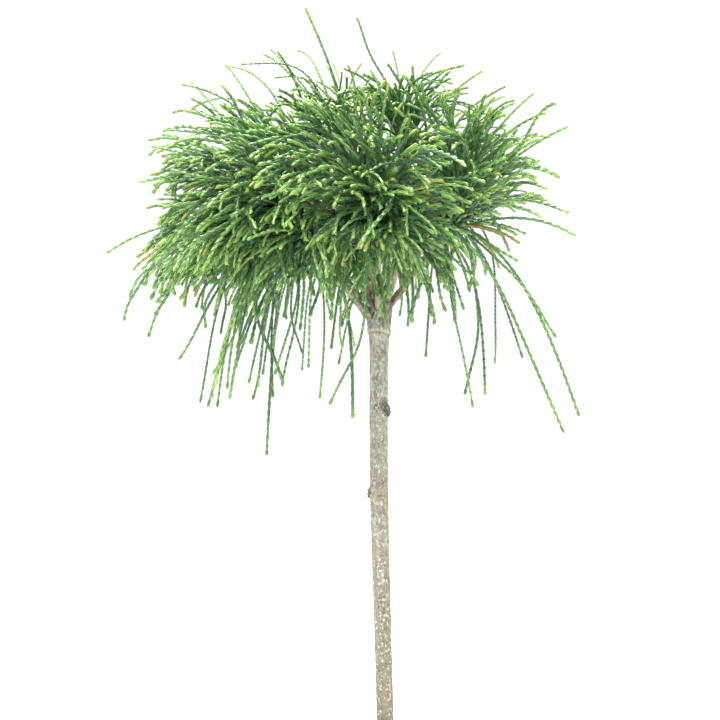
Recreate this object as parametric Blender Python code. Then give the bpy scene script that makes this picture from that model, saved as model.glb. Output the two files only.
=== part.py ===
"""A cord-leaved arborvitae grafted high on a clean stem: a small standard tree.

The rootstock is one bare stem with a root flare, pruning scars and a swollen graft
union. Two leaders and a ring of boughs leave the union. Each carries one mass of
foliage: a dense middle that long, arching, cord-like shoots stand out of, with an
awl-shaped leaf near the tip of each. All lengths are metres, with +Z up and the origin
on the flat cut at ground level.
"""

import math
import random

import bmesh
import bpy
from mathutils import Matrix, Vector, noise

MM = 0.001
UP = Vector((0, 0, 1))

# ---------------------------------------------------------------- driving dimensions

GRAFT_HEIGHT = 600 * MM  # the top of the bare stem, a 24 inch standard
STEM_LEAN = -10 * MM  # how far the union stands left of the foot
STEM_RADIUS = 9 * MM
FLARE_RADIUS = 17 * MM  # at the ground
FLARE_HEIGHT = 55 * MM
UNION_RADIUS = 13 * MM
CLEARANCE = 0.3 * MM  # between a limb and what carries it

CROWN_CENTRE = Vector((-42 * MM, 0, 700 * MM))
CROWN_LEFT = 190 * MM  # how far the crown reaches from its centre, each way
CROWN_RIGHT = 192 * MM
CROWN_DEPTH = 186 * MM
CROWN_TOP = 106 * MM
CROWN_BOTTOM_LEFT = 84 * MM
CROWN_BOTTOM_RIGHT = 48 * MM
CROWN_SHOULDER = 3.2  # 2 gives the upper half round shoulders, more makes them squarer
CROWN_TILT = 0.05  # the left side hangs lower: rise for each metre to the right

SIDES = ("back_right", "back", "back_left", "front_left", "front", "front_right")
TOP_CONE = (676 * MM, 1.15)  # the top masses stand in it: its height on the axis and slope
TWIST = 4.0  # radians the walls between side masses turn for each metre of height
TWIST_HEIGHTS = (620 * MM, 690 * MM, 810 * MM)  # it starts, is square to the compass, ends

BOUGH_TIP = (66 * MM, 650 * MM)  # out from the axis, and up
SIDE_HEART = (100 * MM, 696 * MM)  # where the stem of a side mass ends
CORE_SHARE = 0.64  # how much of the crown's reach a mass's dense middle fills
CORE_HOLLOW = 42 * MM  # the open middle round the leaders
CORE_GAP = 5 * MM  # from the walls of its space, and from any limb

CORD_RADIUS = 2.7 * MM
WALL_GAP = 1.8 * MM  # from a cord's skin to the walls of its mass's space
LEAF_LENGTH = 11 * MM
LEAF_RADIUS = 1.7 * MM

ARMS = {"side": 18, "top": 13}  # the long cords of each mass
HANGING = 2  # the side masses' cords that hang below the crown
DRAPES = 3  # those that arch out and down to its lower edge
BARE_STEM = 26 * MM  # no cord hangs nearer than this to the stem's own plane
SIDE_CORDS = 2  # that fork off each long cord
SIDE_ANGLE = 28  # degrees from its heading
SIDE_LENGTH = (40 * MM, 72 * MM)
SLIM_RATIOS = [0.54 + 0.02 * step for step in range(20)]

# ---------------------------------------------------------------- materials


def material(name, colour, roughness):
    made = bpy.data.materials.new(name)
    made.use_nodes = True
    shader = made.node_tree.nodes["Principled BSDF"]
    shader.inputs["Base Color"].default_value = (*colour, 1)
    shader.inputs["Roughness"].default_value = roughness
    shader.inputs["Metallic"].default_value = 0
    made.diffuse_color = (*colour, 1)
    return made


def clear_scene():
    for old in list(bpy.data.objects):
        bpy.data.objects.remove(old)


# ---------------------------------------------------------------- building blocks


def new_collection(name, parent):
    made = bpy.data.collections.new(name)
    parent.children.link(made)
    return made


def tube(name, points, radii, sides, home):
    """A closed tube mesh along the points, made from a bevelled curve."""
    curve = bpy.data.curves.new(name, "CURVE")
    curve.dimensions = "3D"
    curve.use_fill_caps = True
    curve.bevel_resolution = 0
    section = None
    if sides == 3:
        section = ring_curve(3)
        curve.bevel_mode = "OBJECT"
        curve.bevel_object = section
    else:
        curve.bevel_depth = 1
        curve.bevel_resolution = (sides - 4) // 2
    spline = curve.splines.new("POLY")
    spline.points.add(len(points) - 1)
    for spot, point, radius in zip(spline.points, points, radii):
        spot.co = (*point, 1)
        spot.radius = radius
    guide = bpy.data.objects.new(name + "_guide", curve)
    home.objects.link(guide)
    bpy.context.view_layer.update()
    graph = bpy.context.evaluated_depsgraph_get()
    mesh = bpy.data.meshes.new_from_object(guide.evaluated_get(graph))
    bpy.data.objects.remove(guide)
    if section:
        bpy.data.objects.remove(section)
    weld_caps(mesh)
    made = bpy.data.objects.new(name, mesh)
    home.objects.link(made)
    return made


def ring_curve(sides):
    """The section of a thin twig: a closed polygon of radius one."""
    curve = bpy.data.curves.new("section", "CURVE")
    curve.dimensions = "2D"
    spline = curve.splines.new("POLY")
    spline.points.add(sides - 1)
    for index, spot in enumerate(spline.points):
        angle = -2 * math.pi * index / sides
        spot.co = (math.cos(angle), math.sin(angle), 0, 1)
    spline.use_cyclic_u = True
    made = bpy.data.objects.new("section", curve)
    bpy.context.scene.collection.objects.link(made)
    return made


def weld_caps(mesh):
    work = bmesh.new()
    work.from_mesh(mesh)
    bmesh.ops.remove_doubles(work, verts=work.verts, dist=0.01 * MM)
    bmesh.ops.recalc_face_normals(work, faces=work.faces)
    work.to_mesh(mesh)
    work.free()


def bezier(a, b, c, count):
    """Points along a quadratic curve from a to c, pulled towards b."""
    shares = [index / (count - 1) for index in range(count)]
    return [a * (1 - t) ** 2 + b * 2 * t * (1 - t) + c * t**2 for t in shares]


def mix(a, b, share):
    return a + (b - a) * share


def point_at_height(points, height):
    """Where a rising path crosses a height."""
    for low, high in zip(points, points[1:]):
        if low.z <= height <= high.z:
            return mix(low, high, (height - low.z) / (high.z - low.z))
    return points[-1].copy()


def compass(azimuth, rise=0.0):
    """Unit direction: 0 degrees is +X (right), 90 is +Y (back)."""
    turn, lift = math.radians(azimuth), math.radians(rise)
    return Vector(
        (math.cos(turn) * math.cos(lift), math.sin(turn) * math.cos(lift), math.sin(lift))
    )


# ---------------------------------------------------------------- the stem


def stem_path():
    """The stem's centre line, with a first stretch upright so that the foot is level."""
    heights = [0, 8, 20, 38, 60, 110, 180, 260, 340, 400, 450, 500, 540, 560, 574, 588, 600, 608]
    top = heights[-1]
    path = []
    for height in heights:
        share = max(0, height - 8) / (top - 8)
        sway = 2.2 * math.sin(share * 2.4 * math.pi)
        path.append(Vector(((share**1.1) * STEM_LEAN + sway * MM * share, 0, height * MM)))
    return path


def stem_radius(height):
    """Flare at the foot, nearly even above it, and the swelling of the graft union."""
    flare = (FLARE_RADIUS - STEM_RADIUS) * math.exp(-height / (FLARE_HEIGHT * 0.42))
    swell = (UNION_RADIUS - STEM_RADIUS) * math.exp(-(((height - 0.589) / 0.024) ** 2))
    top = 0.30 * STEM_RADIUS * max(0.0, (height - 0.596) / 0.012)
    return STEM_RADIUS * (0.985 - 0.03 * math.sin(height * 9)) + flare + swell - top


SCARS = (
    # height, azimuth, radius of the scar's collar, how far it stands out
    (0.490, 318, 6.0 * MM, 1.4 * MM),
    (0.499, 300, 4.2 * MM, 0.6 * MM),
    (0.407, 196, 5.2 * MM, 2.2 * MM),
    (0.184, 262, 4.4 * MM, 1.0 * MM),
    (0.300, 80, 4.8 * MM, 1.2 * MM),
)


def build_stem(name, home, grow=0.0):
    path = stem_path()
    radii = [stem_radius(point.z) + grow for point in path]
    made = tube(name, path, radii, 16, home)
    for vertex in made.data.vertices:
        centre = point_at_height(path, vertex.co.z)
        out = (vertex.co - centre) * Vector((1, 1, 0))
        lobes = math.cos(5 * math.atan2(out.y, out.x) + 0.6)
        near_ground = math.exp(-vertex.co.z / (FLARE_HEIGHT * 0.5))
        vertex.co += out * 0.22 * lobes * near_ground
    return made


def add_scars(stem):
    """Collars of healed bark where side shoots were pruned, fused to the stem."""
    scars = new_collection("scars", bpy.context.scene.collection)
    path = stem_path()
    for index, (height, azimuth, radius, proud) in enumerate(SCARS):
        centre = point_at_height(path, height)
        out = compass(azimuth)
        place = centre + out * (stem_radius(height) + proud - radius * 0.62)
        turn = out.to_track_quat("Z", "Y").to_matrix().to_4x4()
        size = Matrix.Diagonal((radius, radius * 1.15, radius * 0.62, 1))
        work = bmesh.new()
        bmesh.ops.create_uvsphere(
            work, u_segments=8, v_segments=5, radius=1, matrix=Matrix.Translation(place) @ turn @ size
        )
        add_mesh(f"scar_{index}", work, scars)
    fuse(stem, scars)


def add_mesh(name, work, home):
    mesh = bpy.data.meshes.new(name)
    work.to_mesh(mesh)
    work.free()
    made = bpy.data.objects.new(name, mesh)
    home.objects.link(made)
    return made


def fuse(base, others):
    """Joins a collection's objects to the base with one Boolean, then removes them."""
    joined = base.modifiers.new("fuse", "BOOLEAN")
    joined.operation = "UNION"
    joined.operand_type = "COLLECTION"
    joined.collection = others
    joined.solver = "MANIFOLD"
    apply_modifiers(base)
    for old in list(others.objects):
        bpy.data.objects.remove(old)
    bpy.data.collections.remove(others)
    keep_outer_shell(base.data)


def keep_outer_shell(mesh):
    """Drops the walls of sealed hollows and any scrap, leaving the one outer shell."""
    work = bmesh.new()
    work.from_mesh(mesh)
    work.verts.ensure_lookup_table()
    unseen = set(work.verts)
    shells = []
    while unseen:
        front = [unseen.pop()]
        shell = set(front)
        while front:
            for edge in front.pop().link_edges:
                for vertex in edge.verts:
                    if vertex in unseen:
                        unseen.remove(vertex)
                        shell.add(vertex)
                        front.append(vertex)
        shells.append(shell)
    shells.sort(key=len)
    for shell in shells[:-1]:
        bmesh.ops.delete(work, geom=list(shell), context="VERTS")
    work.to_mesh(mesh)
    work.free()


def slim_down(thing):
    """Halves the faces that fusing leaves at the joints, where that stays one clean skin."""
    fused = thing.data
    for ratio in SLIM_RATIOS:
        thing.data = fused
        slim = thing.modifiers.new("slim", "DECIMATE")
        slim.ratio = ratio
        apply_modifiers(thing)
        trim_fins(thing.data)
        keep_outer_shell(thing.data)
        if is_clean_skin(thing.data):
            return
    thing.data = fused


def spot_of(vertex):
    return tuple(round(x * 1e7) for x in vertex.co)


def trim_fins(mesh):
    """Drops flat fins: two faces back to back on the same three corners."""
    work = bmesh.new()
    work.from_mesh(mesh)
    bmesh.ops.triangulate(work, faces=work.faces)
    fins = [None]
    while fins:
        corners = {}
        for face in work.faces:
            corners.setdefault(frozenset(spot_of(vertex) for vertex in face.verts), []).append(face)
        fins = [face for pair in corners.values() if len(pair) > 1 for face in pair]
        bmesh.ops.delete(work, geom=fins, context="FACES")
        bmesh.ops.remove_doubles(work, verts=work.verts, dist=1e-4 * MM)
    work.to_mesh(mesh)
    work.free()


def is_clean_skin(mesh):
    """Whether every edge still joins two faces once points a hair apart are one."""
    mesh.calc_loop_triangles()
    spots = [spot_of(vertex) for vertex in mesh.vertices]
    uses = {}
    for face in mesh.loop_triangles:
        corners = [spots[index] for index in face.vertices]
        for a, b in zip(corners, corners[1:] + corners[:1]):
            if a != b:
                uses[frozenset((a, b))] = uses.get(frozenset((a, b)), 0) + 1
    return set(uses.values()) == {2}


def cut_clear(limb, cutter):
    """Trims a limb's root to the surface that carries it, grown by the clearance."""
    cut = limb.modifiers.new("seat", "BOOLEAN")
    cut.operation = "DIFFERENCE"
    cut.object = cutter
    cut.solver = "MANIFOLD"
    apply_modifiers(limb)
    bpy.data.objects.remove(cutter)


def apply_modifiers(thing):
    bpy.context.view_layer.update()
    graph = bpy.context.evaluated_depsgraph_get()
    mesh = bpy.data.meshes.new_from_object(thing.evaluated_get(graph))
    thing.modifiers.clear()
    thing.data = mesh


# ---------------------------------------------------------------- the limbs


class Limb:
    """One tapering limb: its centre line, its radii and the node that carries it."""

    def __init__(self, name, points, start_radius, tip_radius):
        self.name = name
        self.points = points
        last = len(points) - 1
        self.radii = [mix(start_radius, tip_radius, index / last) for index in range(last + 1)]

    @property
    def tip(self):
        return self.points[-1]

    @property
    def heading(self):
        return (self.points[-1] - self.points[-2]).normalized()

    def build(self, home, grow=0.0):
        return tube(self.name, self.points, [r + grow for r in self.radii], 6, home)


def leaders():
    """The two upright limbs that fork from the union."""
    left = [Vector(spot) * MM for spot in ((-15.5, 1, 599), (-12, 4, 665), (-26, 6, 730))]
    right = [Vector(spot) * MM for spot in ((-5, -2, 597), (20, -6, 645), (16, -6, 728))]
    return (
        Limb("leader_left", bezier(*left, 8), 4.9 * MM, 3.2 * MM),
        Limb("leader_right", bezier(*right, 8), 4.6 * MM, 3.1 * MM),
    )


def side_azimuth(index):
    return 360 / len(SIDES) * (index + 0.5)


def side_bough(index, stem, right_leader):
    """A bough from the union, except at the front right, where the leader carries it."""
    out = compass(side_azimuth(index))
    if SIDES[index] == "front_right":
        start = point_at_height(right_leader.points, 0.643)
    else:
        start = point_at_height(stem, (0.573 if index % 2 else 0.585))
    tip = AXIS_FOOT + out * BOUGH_TIP[0]
    tip.z = BOUGH_TIP[1] + CROWN_TILT * (tip.x - CROWN_CENTRE.x)
    waist = mix(start, tip, 0.50) - UP * 7 * MM
    root_radius = (3.0 if SIDES[index] == "front_right" else 3.9) * MM
    return Limb(f"bough_{SIDES[index]}", bezier(start, waist, tip, 7), root_radius, 2.5 * MM)


# ---------------------------------------------------------------- the crown's spaces

AXIS_FOOT = Vector((STEM_LEAN, 0, 0))


def level(point):
    """The point with the crown's sideways tilt taken out."""
    return Vector((point.x, point.y, point.z - CROWN_TILT * (point.x - CROWN_CENTRE.x)))


def outline_point(direction, share):
    """The point at a share of the crown's reach from its centre, along a direction."""
    wide = CROWN_RIGHT if direction.x > 0 else CROWN_LEFT
    low = mix(CROWN_BOTTOM_LEFT, CROWN_BOTTOM_RIGHT, (1 + direction.x) / 2)
    tall = CROWN_TOP if direction.z > 0 else low
    if direction.z > 0:
        flat = math.hypot(direction.x, direction.y)
        share *= (flat**CROWN_SHOULDER + direction.z**CROWN_SHOULDER) ** (-1 / CROWN_SHOULDER)
    step = Vector((direction.x * wide, direction.y * CROWN_DEPTH, direction.z * tall)) * share
    return CROWN_CENTRE + step + UP * CROWN_TILT * step.x


def outline_share(point):
    """How far a point lies from the crown's centre, as a share of the crown's reach."""
    step = level(point) - CROWN_CENTRE
    wide = step.x / (CROWN_RIGHT if step.x > 0 else CROWN_LEFT)
    flat = math.hypot(wide, step.y / CROWN_DEPTH)
    if step.z > 0:
        return (flat**CROWN_SHOULDER + (step.z / CROWN_TOP) ** CROWN_SHOULDER) ** (1 / CROWN_SHOULDER)
    low = mix(CROWN_BOTTOM_LEFT, CROWN_BOTTOM_RIGHT, (1 + wide) / 2)
    return math.hypot(flat, step.z / low)


class Space:
    """The room one mass keeps to: a wedge of compass directions, inside the cone or outside."""

    def __init__(self, storey, azimuth, width):
        self.storey = storey
        self.azimuth = azimuth
        self.width = width

    def holds(self, point, margin):
        flat = level(point)
        side = Vector((flat.x - AXIS_FOOT.x, flat.y, 0))
        above = flat.z - TOP_CONE[0] - TOP_CONE[1] * side.length
        above /= math.hypot(1, TOP_CONE[1])
        if (above if self.storey == "top" else -above) < margin:
            return False
        low, square, high = TWIST_HEIGHTS
        turn = TWIST * (max(low, min(high, flat.z)) - square)
        side.rotate(Matrix.Rotation(turn, 3, "Z"))
        middle = compass(self.azimuth)
        for way in (-1, 1):
            wall = compass(self.azimuth + way * self.width / 2)
            inward = middle - wall * middle.dot(wall)
            if self.width >= 180:
                inward = middle
            if side.dot(inward.normalized()) < margin:
                return False
        return True


# ---------------------------------------------------------------- cords


def cord_path(start, tip, bend, early, sweep, count):
    """A cord from start to tip that turns down along its length.

    bend is the whole turn in degrees, early makes it turn near its root, as a hanging
    cord does, and sweep pushes it sideways by a share of its length.
    """
    chord = tip - start
    flat = Vector((chord.x, chord.y, 0))
    ahead = flat.normalized() if flat.length > 1e-6 else Vector((1, 0, 0))
    slope = math.atan2(chord.z, flat.length)
    fine = 24
    while True:
        angles = []
        for index in range(fine):
            share = (index + 0.5) / fine
            turned = (1 - math.exp(-4 * share)) / (1 - math.exp(-4)) if early else share**1.25
            angles.append(-math.radians(bend) * turned)
        run = [0.0]
        rise = [0.0]
        for angle in angles:
            run.append(run[-1] + math.cos(angle))
            rise.append(rise[-1] + math.sin(angle))
        own_slope = math.atan2(rise[-1], run[-1])
        end_slope = angles[-1] + slope - own_slope
        if end_slope > -math.radians(93) or bend < 4:
            break
        bend *= 0.85
    size = chord.length / math.hypot(run[-1], rise[-1])
    turn = slope - own_slope
    sideways = Vector((-ahead.y, ahead.x, 0))
    path = []
    for index in range(count):
        place = index / (count - 1) * fine
        low = min(int(place), fine - 1)
        x = (run[low] + (run[low + 1] - run[low]) * (place - low)) * size
        z = (rise[low] + (rise[low + 1] - rise[low]) * (place - low)) * size
        forward = x * math.cos(turn) - z * math.sin(turn)
        upward = x * math.sin(turn) + z * math.cos(turn)
        bow = math.sin(math.pi * index / (count - 1)) * sweep * chord.length
        path.append(start + ahead * forward + UP * upward + sideways * bow)
    return path


def cord_radii(count, root, scale):
    """Thin at its root, even along most of its length, swollen just behind the tip."""
    radii = []
    for index in range(count):
        share = index / (count - 1)
        if share == 0:
            radii.append(min(root, scale * 0.8))
        elif share == 1:
            radii.append(scale * 0.45)
        else:
            radii.append(scale * (0.86 + 0.26 * share**2))
    return radii


def spread(index):
    """The index-th direction of an endless, even spread over a ball."""
    turn = 2 * math.pi * ((index * 0.7548776662466927 + 0.31) % 1)
    height = 1 - 2 * ((index * 0.5698402909980532 + 0.17) % 1)
    flat = math.sqrt(1 - height**2)
    return Vector((math.cos(turn) * flat, math.sin(turn) * flat, height))


STRAYS = (
    # storey, the tip's X, Y and Z in mm from the foot, bend in degrees, turns early
    ("top", (-82, -30, 889), 8, False),
    ("top", (-118, 22, 856), 10, False),
    ("top", (6, 10, 852), 12, False),
    ("top", (-55, 40, 846), 34, False),
    ("side", (-198, 20, 822), 20, False),
    ("top", (94, -18, 826), 30, False),
    ("side", (150, 30, 812), 30, False),
    ("side", (176, -36, 768), 34, False),
    ("side", (-281, -14, 646), 60, False),
    ("side", (-226, -40, 596), 50, False),
    ("side", (-182, 30, 492), 70, True),
    ("side", (-119, -24, 446), 60, True),
    ("side", (-66, -56, 502), 60, True),
    ("side", (-34, -70, 484), 66, True),
    ("side", (95, -40, 506), 60, True),
    ("side", (180, 24, 466), 58, True),
    ("side", (190, -30, 482), 62, True),
    ("side", (182, -50, 660), 62, False),
)


class Mass:
    """One mass of foliage: a stem that carries on from its bough, twigs and cords."""

    def __init__(self, name, space, limb, seed):
        self.name = name
        self.space = space
        self.limb = limb
        self.seed = seed
        self.random = random.Random(seed)
        self.tubes = []
        self.nodes = []
        self.leaves = []
        self.grow_stem()

    def heart(self):
        """The middle of the mass's space, where its stem ends."""
        if self.space.storey == "top":
            return outline_point(compass(self.space.azimuth, 66), 0.70)
        out, height = SIDE_HEART
        spot = AXIS_FOOT + compass(self.space.azimuth) * out
        spot.x += 0.12 * (CROWN_CENTRE.x - STEM_LEAN)
        spot.z = height + CROWN_TILT * (spot.x - CROWN_CENTRE.x)
        return spot

    def grow_stem(self):
        start = self.limb.tip + self.limb.heading * CLEARANCE
        end = self.heart()
        reach = (end - start).length
        collar = start + self.limb.heading * 5 * MM
        points = [start, *bezier(collar, collar + self.limb.heading * reach * 0.4, end, 5)]
        first = self.limb.radii[-1]
        radii = [first, *(mix(first, first * 0.62, index / 4) for index in range(5))]
        self.tubes.append((points, radii))
        self.add_nodes(points, radii, 0.3)

    def core_point(self, direction):
        """Where the lumpy surface of the dense middle lies, in a direction from the heart."""
        heart = self.tubes[0][0][-1]
        reach = direction * 130 * MM
        while reach.length > 6 * MM and not self.clear_core(heart, reach):
            reach *= 0.93
        lump = 0.90 + 0.16 * noise.noise(direction * 2.3 + heart * 60)
        return heart + reach * min(1.0, lump)

    def clear_core(self, heart, reach):
        """Whether the dense middle may go so far: in its space, and clear of its limb."""
        end = heart + reach
        ahead = (heart - self.limb.tip).normalized()
        if (end - self.limb.tip).dot(ahead) < 9 * MM:
            return False
        if self.space.storey == "side" and (end - AXIS_FOOT).xy.length < CORE_HOLLOW:
            return False
        if outline_share(end) > CORE_SHARE or not self.space.holds(end, CORE_GAP):
            return False
        return path_gap_all([heart + reach * 0.5, end]) > CORE_GAP

    def build_core(self, home):
        work = bmesh.new()
        bmesh.ops.create_icosphere(work, subdivisions=3, radius=1)
        for vertex in work.verts:
            vertex.co = self.core_point(vertex.co.normalized())
        return add_mesh(self.name + "_core", work, home)

    def add_nodes(self, points, radii, first):
        steps = 7
        for index in range(steps):
            share = mix(first, 1.0, index / (steps - 1))
            spot = along(points, min(share, 0.999))
            ahead = (spot - along(points, share - 0.08)).normalized()
            radius = mix(radii[0], radii[-1], share)
            self.nodes.append([spot, ahead, radius, 0])

    def fits(self, points, radius, skip_first=0):
        """Whether a path stays in the mass's space and clear of every limb."""
        for index, point in enumerate(points):
            if index >= skip_first and not self.space.holds(point, radius + WALL_GAP):
                return False
        for limb in LIMBS:
            if path_gap(points[skip_first:], limb) < radius + 1.5 * MM:
                return False
        return True

    def best_node(self, tip, favourite):
        """The place on the twigs from which a cord would most naturally reach the tip."""
        best, least = None, 1e9
        for node in self.nodes:
            spot, ahead, _, used = node
            chord = tip - spot
            length = chord.length
            if not 30 * MM < length < 260 * MM:
                continue
            cost = abs(length - favourite) / favourite + 0.9 * (1 - chord.dot(ahead) / length)
            cost += 0.30 * used
            if cost < least:
                best, least = node, cost
        return best

    def grow_arm(self, tip, bend, early, favourite, side_cords=SIDE_CORDS):
        """One long cord from the mass's stem to the tip, with its side cords."""
        node = self.best_node(tip, favourite)
        if node is None:
            return False
        points = self.cord_that_fits(node[0], tip, bend, early, CORD_RADIUS)
        if points is None:
            return False
        node[3] += 1
        self.tubes.append((points, cord_radii(len(points), node[2] * 0.85, CORD_RADIUS)))
        self.add_leaf(points)
        for index in range(min(1, side_cords) if early else side_cords):
            self.grow_side_cord(points, 0.50 + 0.22 * index, index)
        return True

    def grow_side_cord(self, arm, share, index):
        """A short cord that forks off a long one, droops, and takes the next side round it."""
        start = along(arm, share)
        ahead = (along(arm, share + 0.04) - start).normalized()
        length = self.random.uniform(*SIDE_LENGTH) * (1.15 - 0.5 * share)
        for trial in range(6):
            across = ahead.cross(UP).normalized()
            across.rotate(Matrix.Rotation(math.pi * index + self.random.uniform(-0.9, 0.9), 3, ahead))
            across.rotate(Matrix.Rotation(trial * 1.1, 3, ahead))
            lean = math.radians(SIDE_ANGLE)
            way = ahead * math.cos(lean) + across * math.sin(lean)
            tip = start + way * length - UP * length * 0.16
            points = self.cord_that_fits(start, tip, 34, False, CORD_RADIUS)
            if points:
                self.tubes.append((points, cord_radii(len(points), CORD_RADIUS * 0.8, CORD_RADIUS)))
                return

    def cord_that_fits(self, start, tip, bend, early, radius):
        """The cord's path, straightened step by step until it stays in the mass's space."""
        sweep = self.random.uniform(-0.06, 0.06)
        count = 4 + int((tip - start).length / (45 * MM))
        for trial in range(5):
            points = cord_path(start, tip, bend, early, sweep, count)
            if self.fits(points, radius, skip_first=1):
                return points
            sweep, bend = -sweep * 0.5, bend * 0.6
        return None

    def add_leaf(self, points):
        """An awl leaf that stands out of a cord, its root sunk to the centre line."""
        spot = along(points, self.random.uniform(0.82, 0.90))
        ahead = (along(points, 0.95) - spot).normalized()
        across = ahead.orthogonal().normalized()
        across.rotate(Matrix.Rotation(self.random.uniform(0, 2 * math.pi), 3, ahead))
        way = (ahead + across * 0.52).normalized()
        end = spot + way * LEAF_LENGTH
        if self.space.holds(end, WALL_GAP) and path_gap_all([spot, end]) > 2 * MM:
            self.leaves.append((spot, way))

    def build(self, home, finish):
        points, radii = self.tubes[0]
        base = tube(self.name, points, radii, 4, home)
        pieces = new_collection(self.name + "_pieces", bpy.context.scene.collection)
        self.build_core(pieces)
        for index, (points, radii) in enumerate(self.tubes[1:]):
            tube(f"{self.name}_cord_{index}", points, radii, 3, pieces)
        for index, (spot, way) in enumerate(self.leaves):
            turn = way.to_track_quat("Z", "Y").to_matrix().to_4x4()
            middle = Matrix.Translation(spot + way * LEAF_LENGTH / 2)
            work = bmesh.new()
            bmesh.ops.create_cone(
                work,
                cap_ends=True,
                segments=3,
                radius1=LEAF_RADIUS,
                radius2=0,
                depth=LEAF_LENGTH,
                matrix=middle @ turn,
            )
            add_mesh(f"{self.name}_leaf_{index}", work, pieces)
        fuse(base, pieces)
        slim_down(base)
        base.data.materials.clear()
        base.data.materials.append(finish)
        return base


def along(points, share):
    """The point at a share of the way along a path."""
    place = max(0.0, min(0.9999, share)) * (len(points) - 1)
    low = int(place)
    return mix(points[low], points[low + 1], place - low)


LIMBS = []  # every limb and the stem, as (points, radii), for keeping foliage clear


def path_gap(points, limb):
    """The least distance from the points to a limb's surface."""
    least = 1e9
    centre_line, radii = limb
    finer = [mix(a, b, t) for a, b in zip(points, points[1:]) for t in (0, 0.33, 0.67)] + [points[-1]]
    for point in finer:
        for index in range(len(centre_line) - 1):
            a, b = centre_line[index], centre_line[index + 1]
            side = b - a
            share = max(0.0, min(1.0, (point - a).dot(side) / side.length_squared))
            gap = (point - a - side * share).length - mix(radii[index], radii[index + 1], share)
            least = min(least, gap)
    return least


def path_gap_all(points):
    return min(path_gap(points, limb) for limb in LIMBS)


# ---------------------------------------------------------------- assembly


def make_masses(carried):
    masses = []
    for seed, (name, space, limb) in enumerate(carried):
        masses.append(Mass(name, space, limb, 100 + seed))
    return masses


def grow_strays(masses):
    """The single cords that reach furthest and give the crown its outline."""
    for storey, tip, bend, early in STRAYS:
        place = Vector(tip) * MM
        for mass in masses:
            if mass.space.storey == storey and mass.space.holds(place, CORD_RADIUS + WALL_GAP):
                mass.grow_arm(place, bend, early, 165 * MM, side_cords=0)


def grow_mass(mass, arms):
    """Fills a mass's space evenly: each arm's tip keeps its distance from those before."""
    tips = []
    tries = 120 * arms
    for index in range(tries):
        if len(tips) == arms:
            break
        direction = spread(index * 16 + mass.seed)
        direction.z *= 1.7 if direction.z > 0 else 0.9
        direction.normalize()
        tip = outline_point(direction, mass.random.uniform(0.86, 1.06))
        spacing = 60 * MM * (1 - index / tries)
        if not mass.space.holds(tip, CORD_RADIUS + WALL_GAP):
            continue
        if any((tip - other).length < spacing for other in tips):
            continue
        bend = mass.random.uniform(34, 66) * (0.6 if direction.z > 0.75 else 1.0)
        early = direction.z < -0.55
        if mass.grow_arm(tip, bend, early, mass.random.uniform(70, 115) * MM):
            tips.append(tip)


def grow_hanging(mass, cords):
    """A side mass's longest cords, which hang well below the crown."""
    for index in range(cords):
        turn = mass.space.azimuth + mass.space.width * mass.random.uniform(-0.42, 0.42)
        tip = AXIS_FOOT + compass(turn) * mass.random.uniform(90, 200) * MM
        tip.x -= 14 * MM
        drop = mass.random.uniform(0.35, 1.0)
        tip.z = 0.600 - 0.110 * drop + CROWN_TILT * 0.5 * (tip.x - CROWN_CENTRE.x)
        if abs(tip.x) > BARE_STEM and mass.space.holds(tip, CORD_RADIUS + WALL_GAP):
            mass.grow_arm(tip, 64, True, 120 * MM, side_cords=0)


def grow_drapes(mass, cords):
    """Cords that arch out and down and make the crown's lower edge, lowest at the left."""
    for index in range(cords):
        turn = mass.space.azimuth + mass.space.width * mass.random.uniform(-0.42, 0.42)
        out = compass(turn)
        wide = CROWN_RIGHT if out.x > 0 else CROWN_LEFT + 16 * MM
        reach = mass.random.uniform(0.70, 1.0)
        tip = CROWN_CENTRE + Vector((out.x * wide, out.y * CROWN_DEPTH * 0.96, 0)) * reach
        low = mix(598 * MM, 670 * MM, (1 + out.x * reach) / 2)
        tip.z = low + 50 * MM * mass.random.random() ** 0.8
        if mass.space.holds(tip, CORD_RADIUS + WALL_GAP):
            mass.grow_arm(tip, mass.random.uniform(54, 80), False, 130 * MM, side_cords=1)


def grow_crown(masses):
    grow_strays(masses)
    for mass in masses:
        grow_mass(mass, ARMS[mass.space.storey])
        if mass.space.storey == "side":
            grow_hanging(mass, HANGING)
            grow_drapes(mass, DRAPES)


def main():
    clear_scene()
    tree = new_collection("arborvitae", bpy.context.scene.collection)
    bark = material("stem_bark", (0.50, 0.47, 0.37), 0.85)
    bough_bark = material("bough_bark", (0.34, 0.27, 0.19), 0.85)
    foliage = material("foliage", (0.10, 0.23, 0.06), 0.55)

    stem = build_stem("stem", tree)
    add_scars(stem)
    stem.data.materials.clear()
    stem.data.materials.append(bark)

    path = stem_path()
    LIMBS.append((path, [stem_radius(point.z) for point in path]))
    left, right = leaders()
    carried = [(left, None, True), (right, None, True)]
    foliage_plan = []
    for index, side in enumerate(SIDES):
        limb = side_bough(index, path, right)
        on_leader = side == "front_right"
        carried.append((limb, right if on_leader else None, not on_leader))
        space = Space("side", side_azimuth(index), 360 / len(SIDES))
        foliage_plan.append((f"foliage_{side}", space, limb))
    foliage_plan.append(("top_foliage_left", Space("top", 180, 180), left))
    foliage_plan.append(("top_foliage_right", Space("top", 0, 180), right))

    for limb, parent, on_stem in carried:
        LIMBS.append((limb.points, limb.radii))
        made = limb.build(tree)
        if on_stem:
            cut_clear(made, build_stem("stem_cutter", tree, CLEARANCE))
        if parent:
            cut_clear(made, parent.build(tree, CLEARANCE))
        made.data.materials.clear()
        made.data.materials.append(bough_bark)

    masses = make_masses(foliage_plan)
    grow_crown(masses)
    for mass in masses:
        mass.build(tree, foliage)


main()
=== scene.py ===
import math
import random

import bmesh
import bpy
import numpy as np
from mathutils import Matrix, Vector, noise


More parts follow.
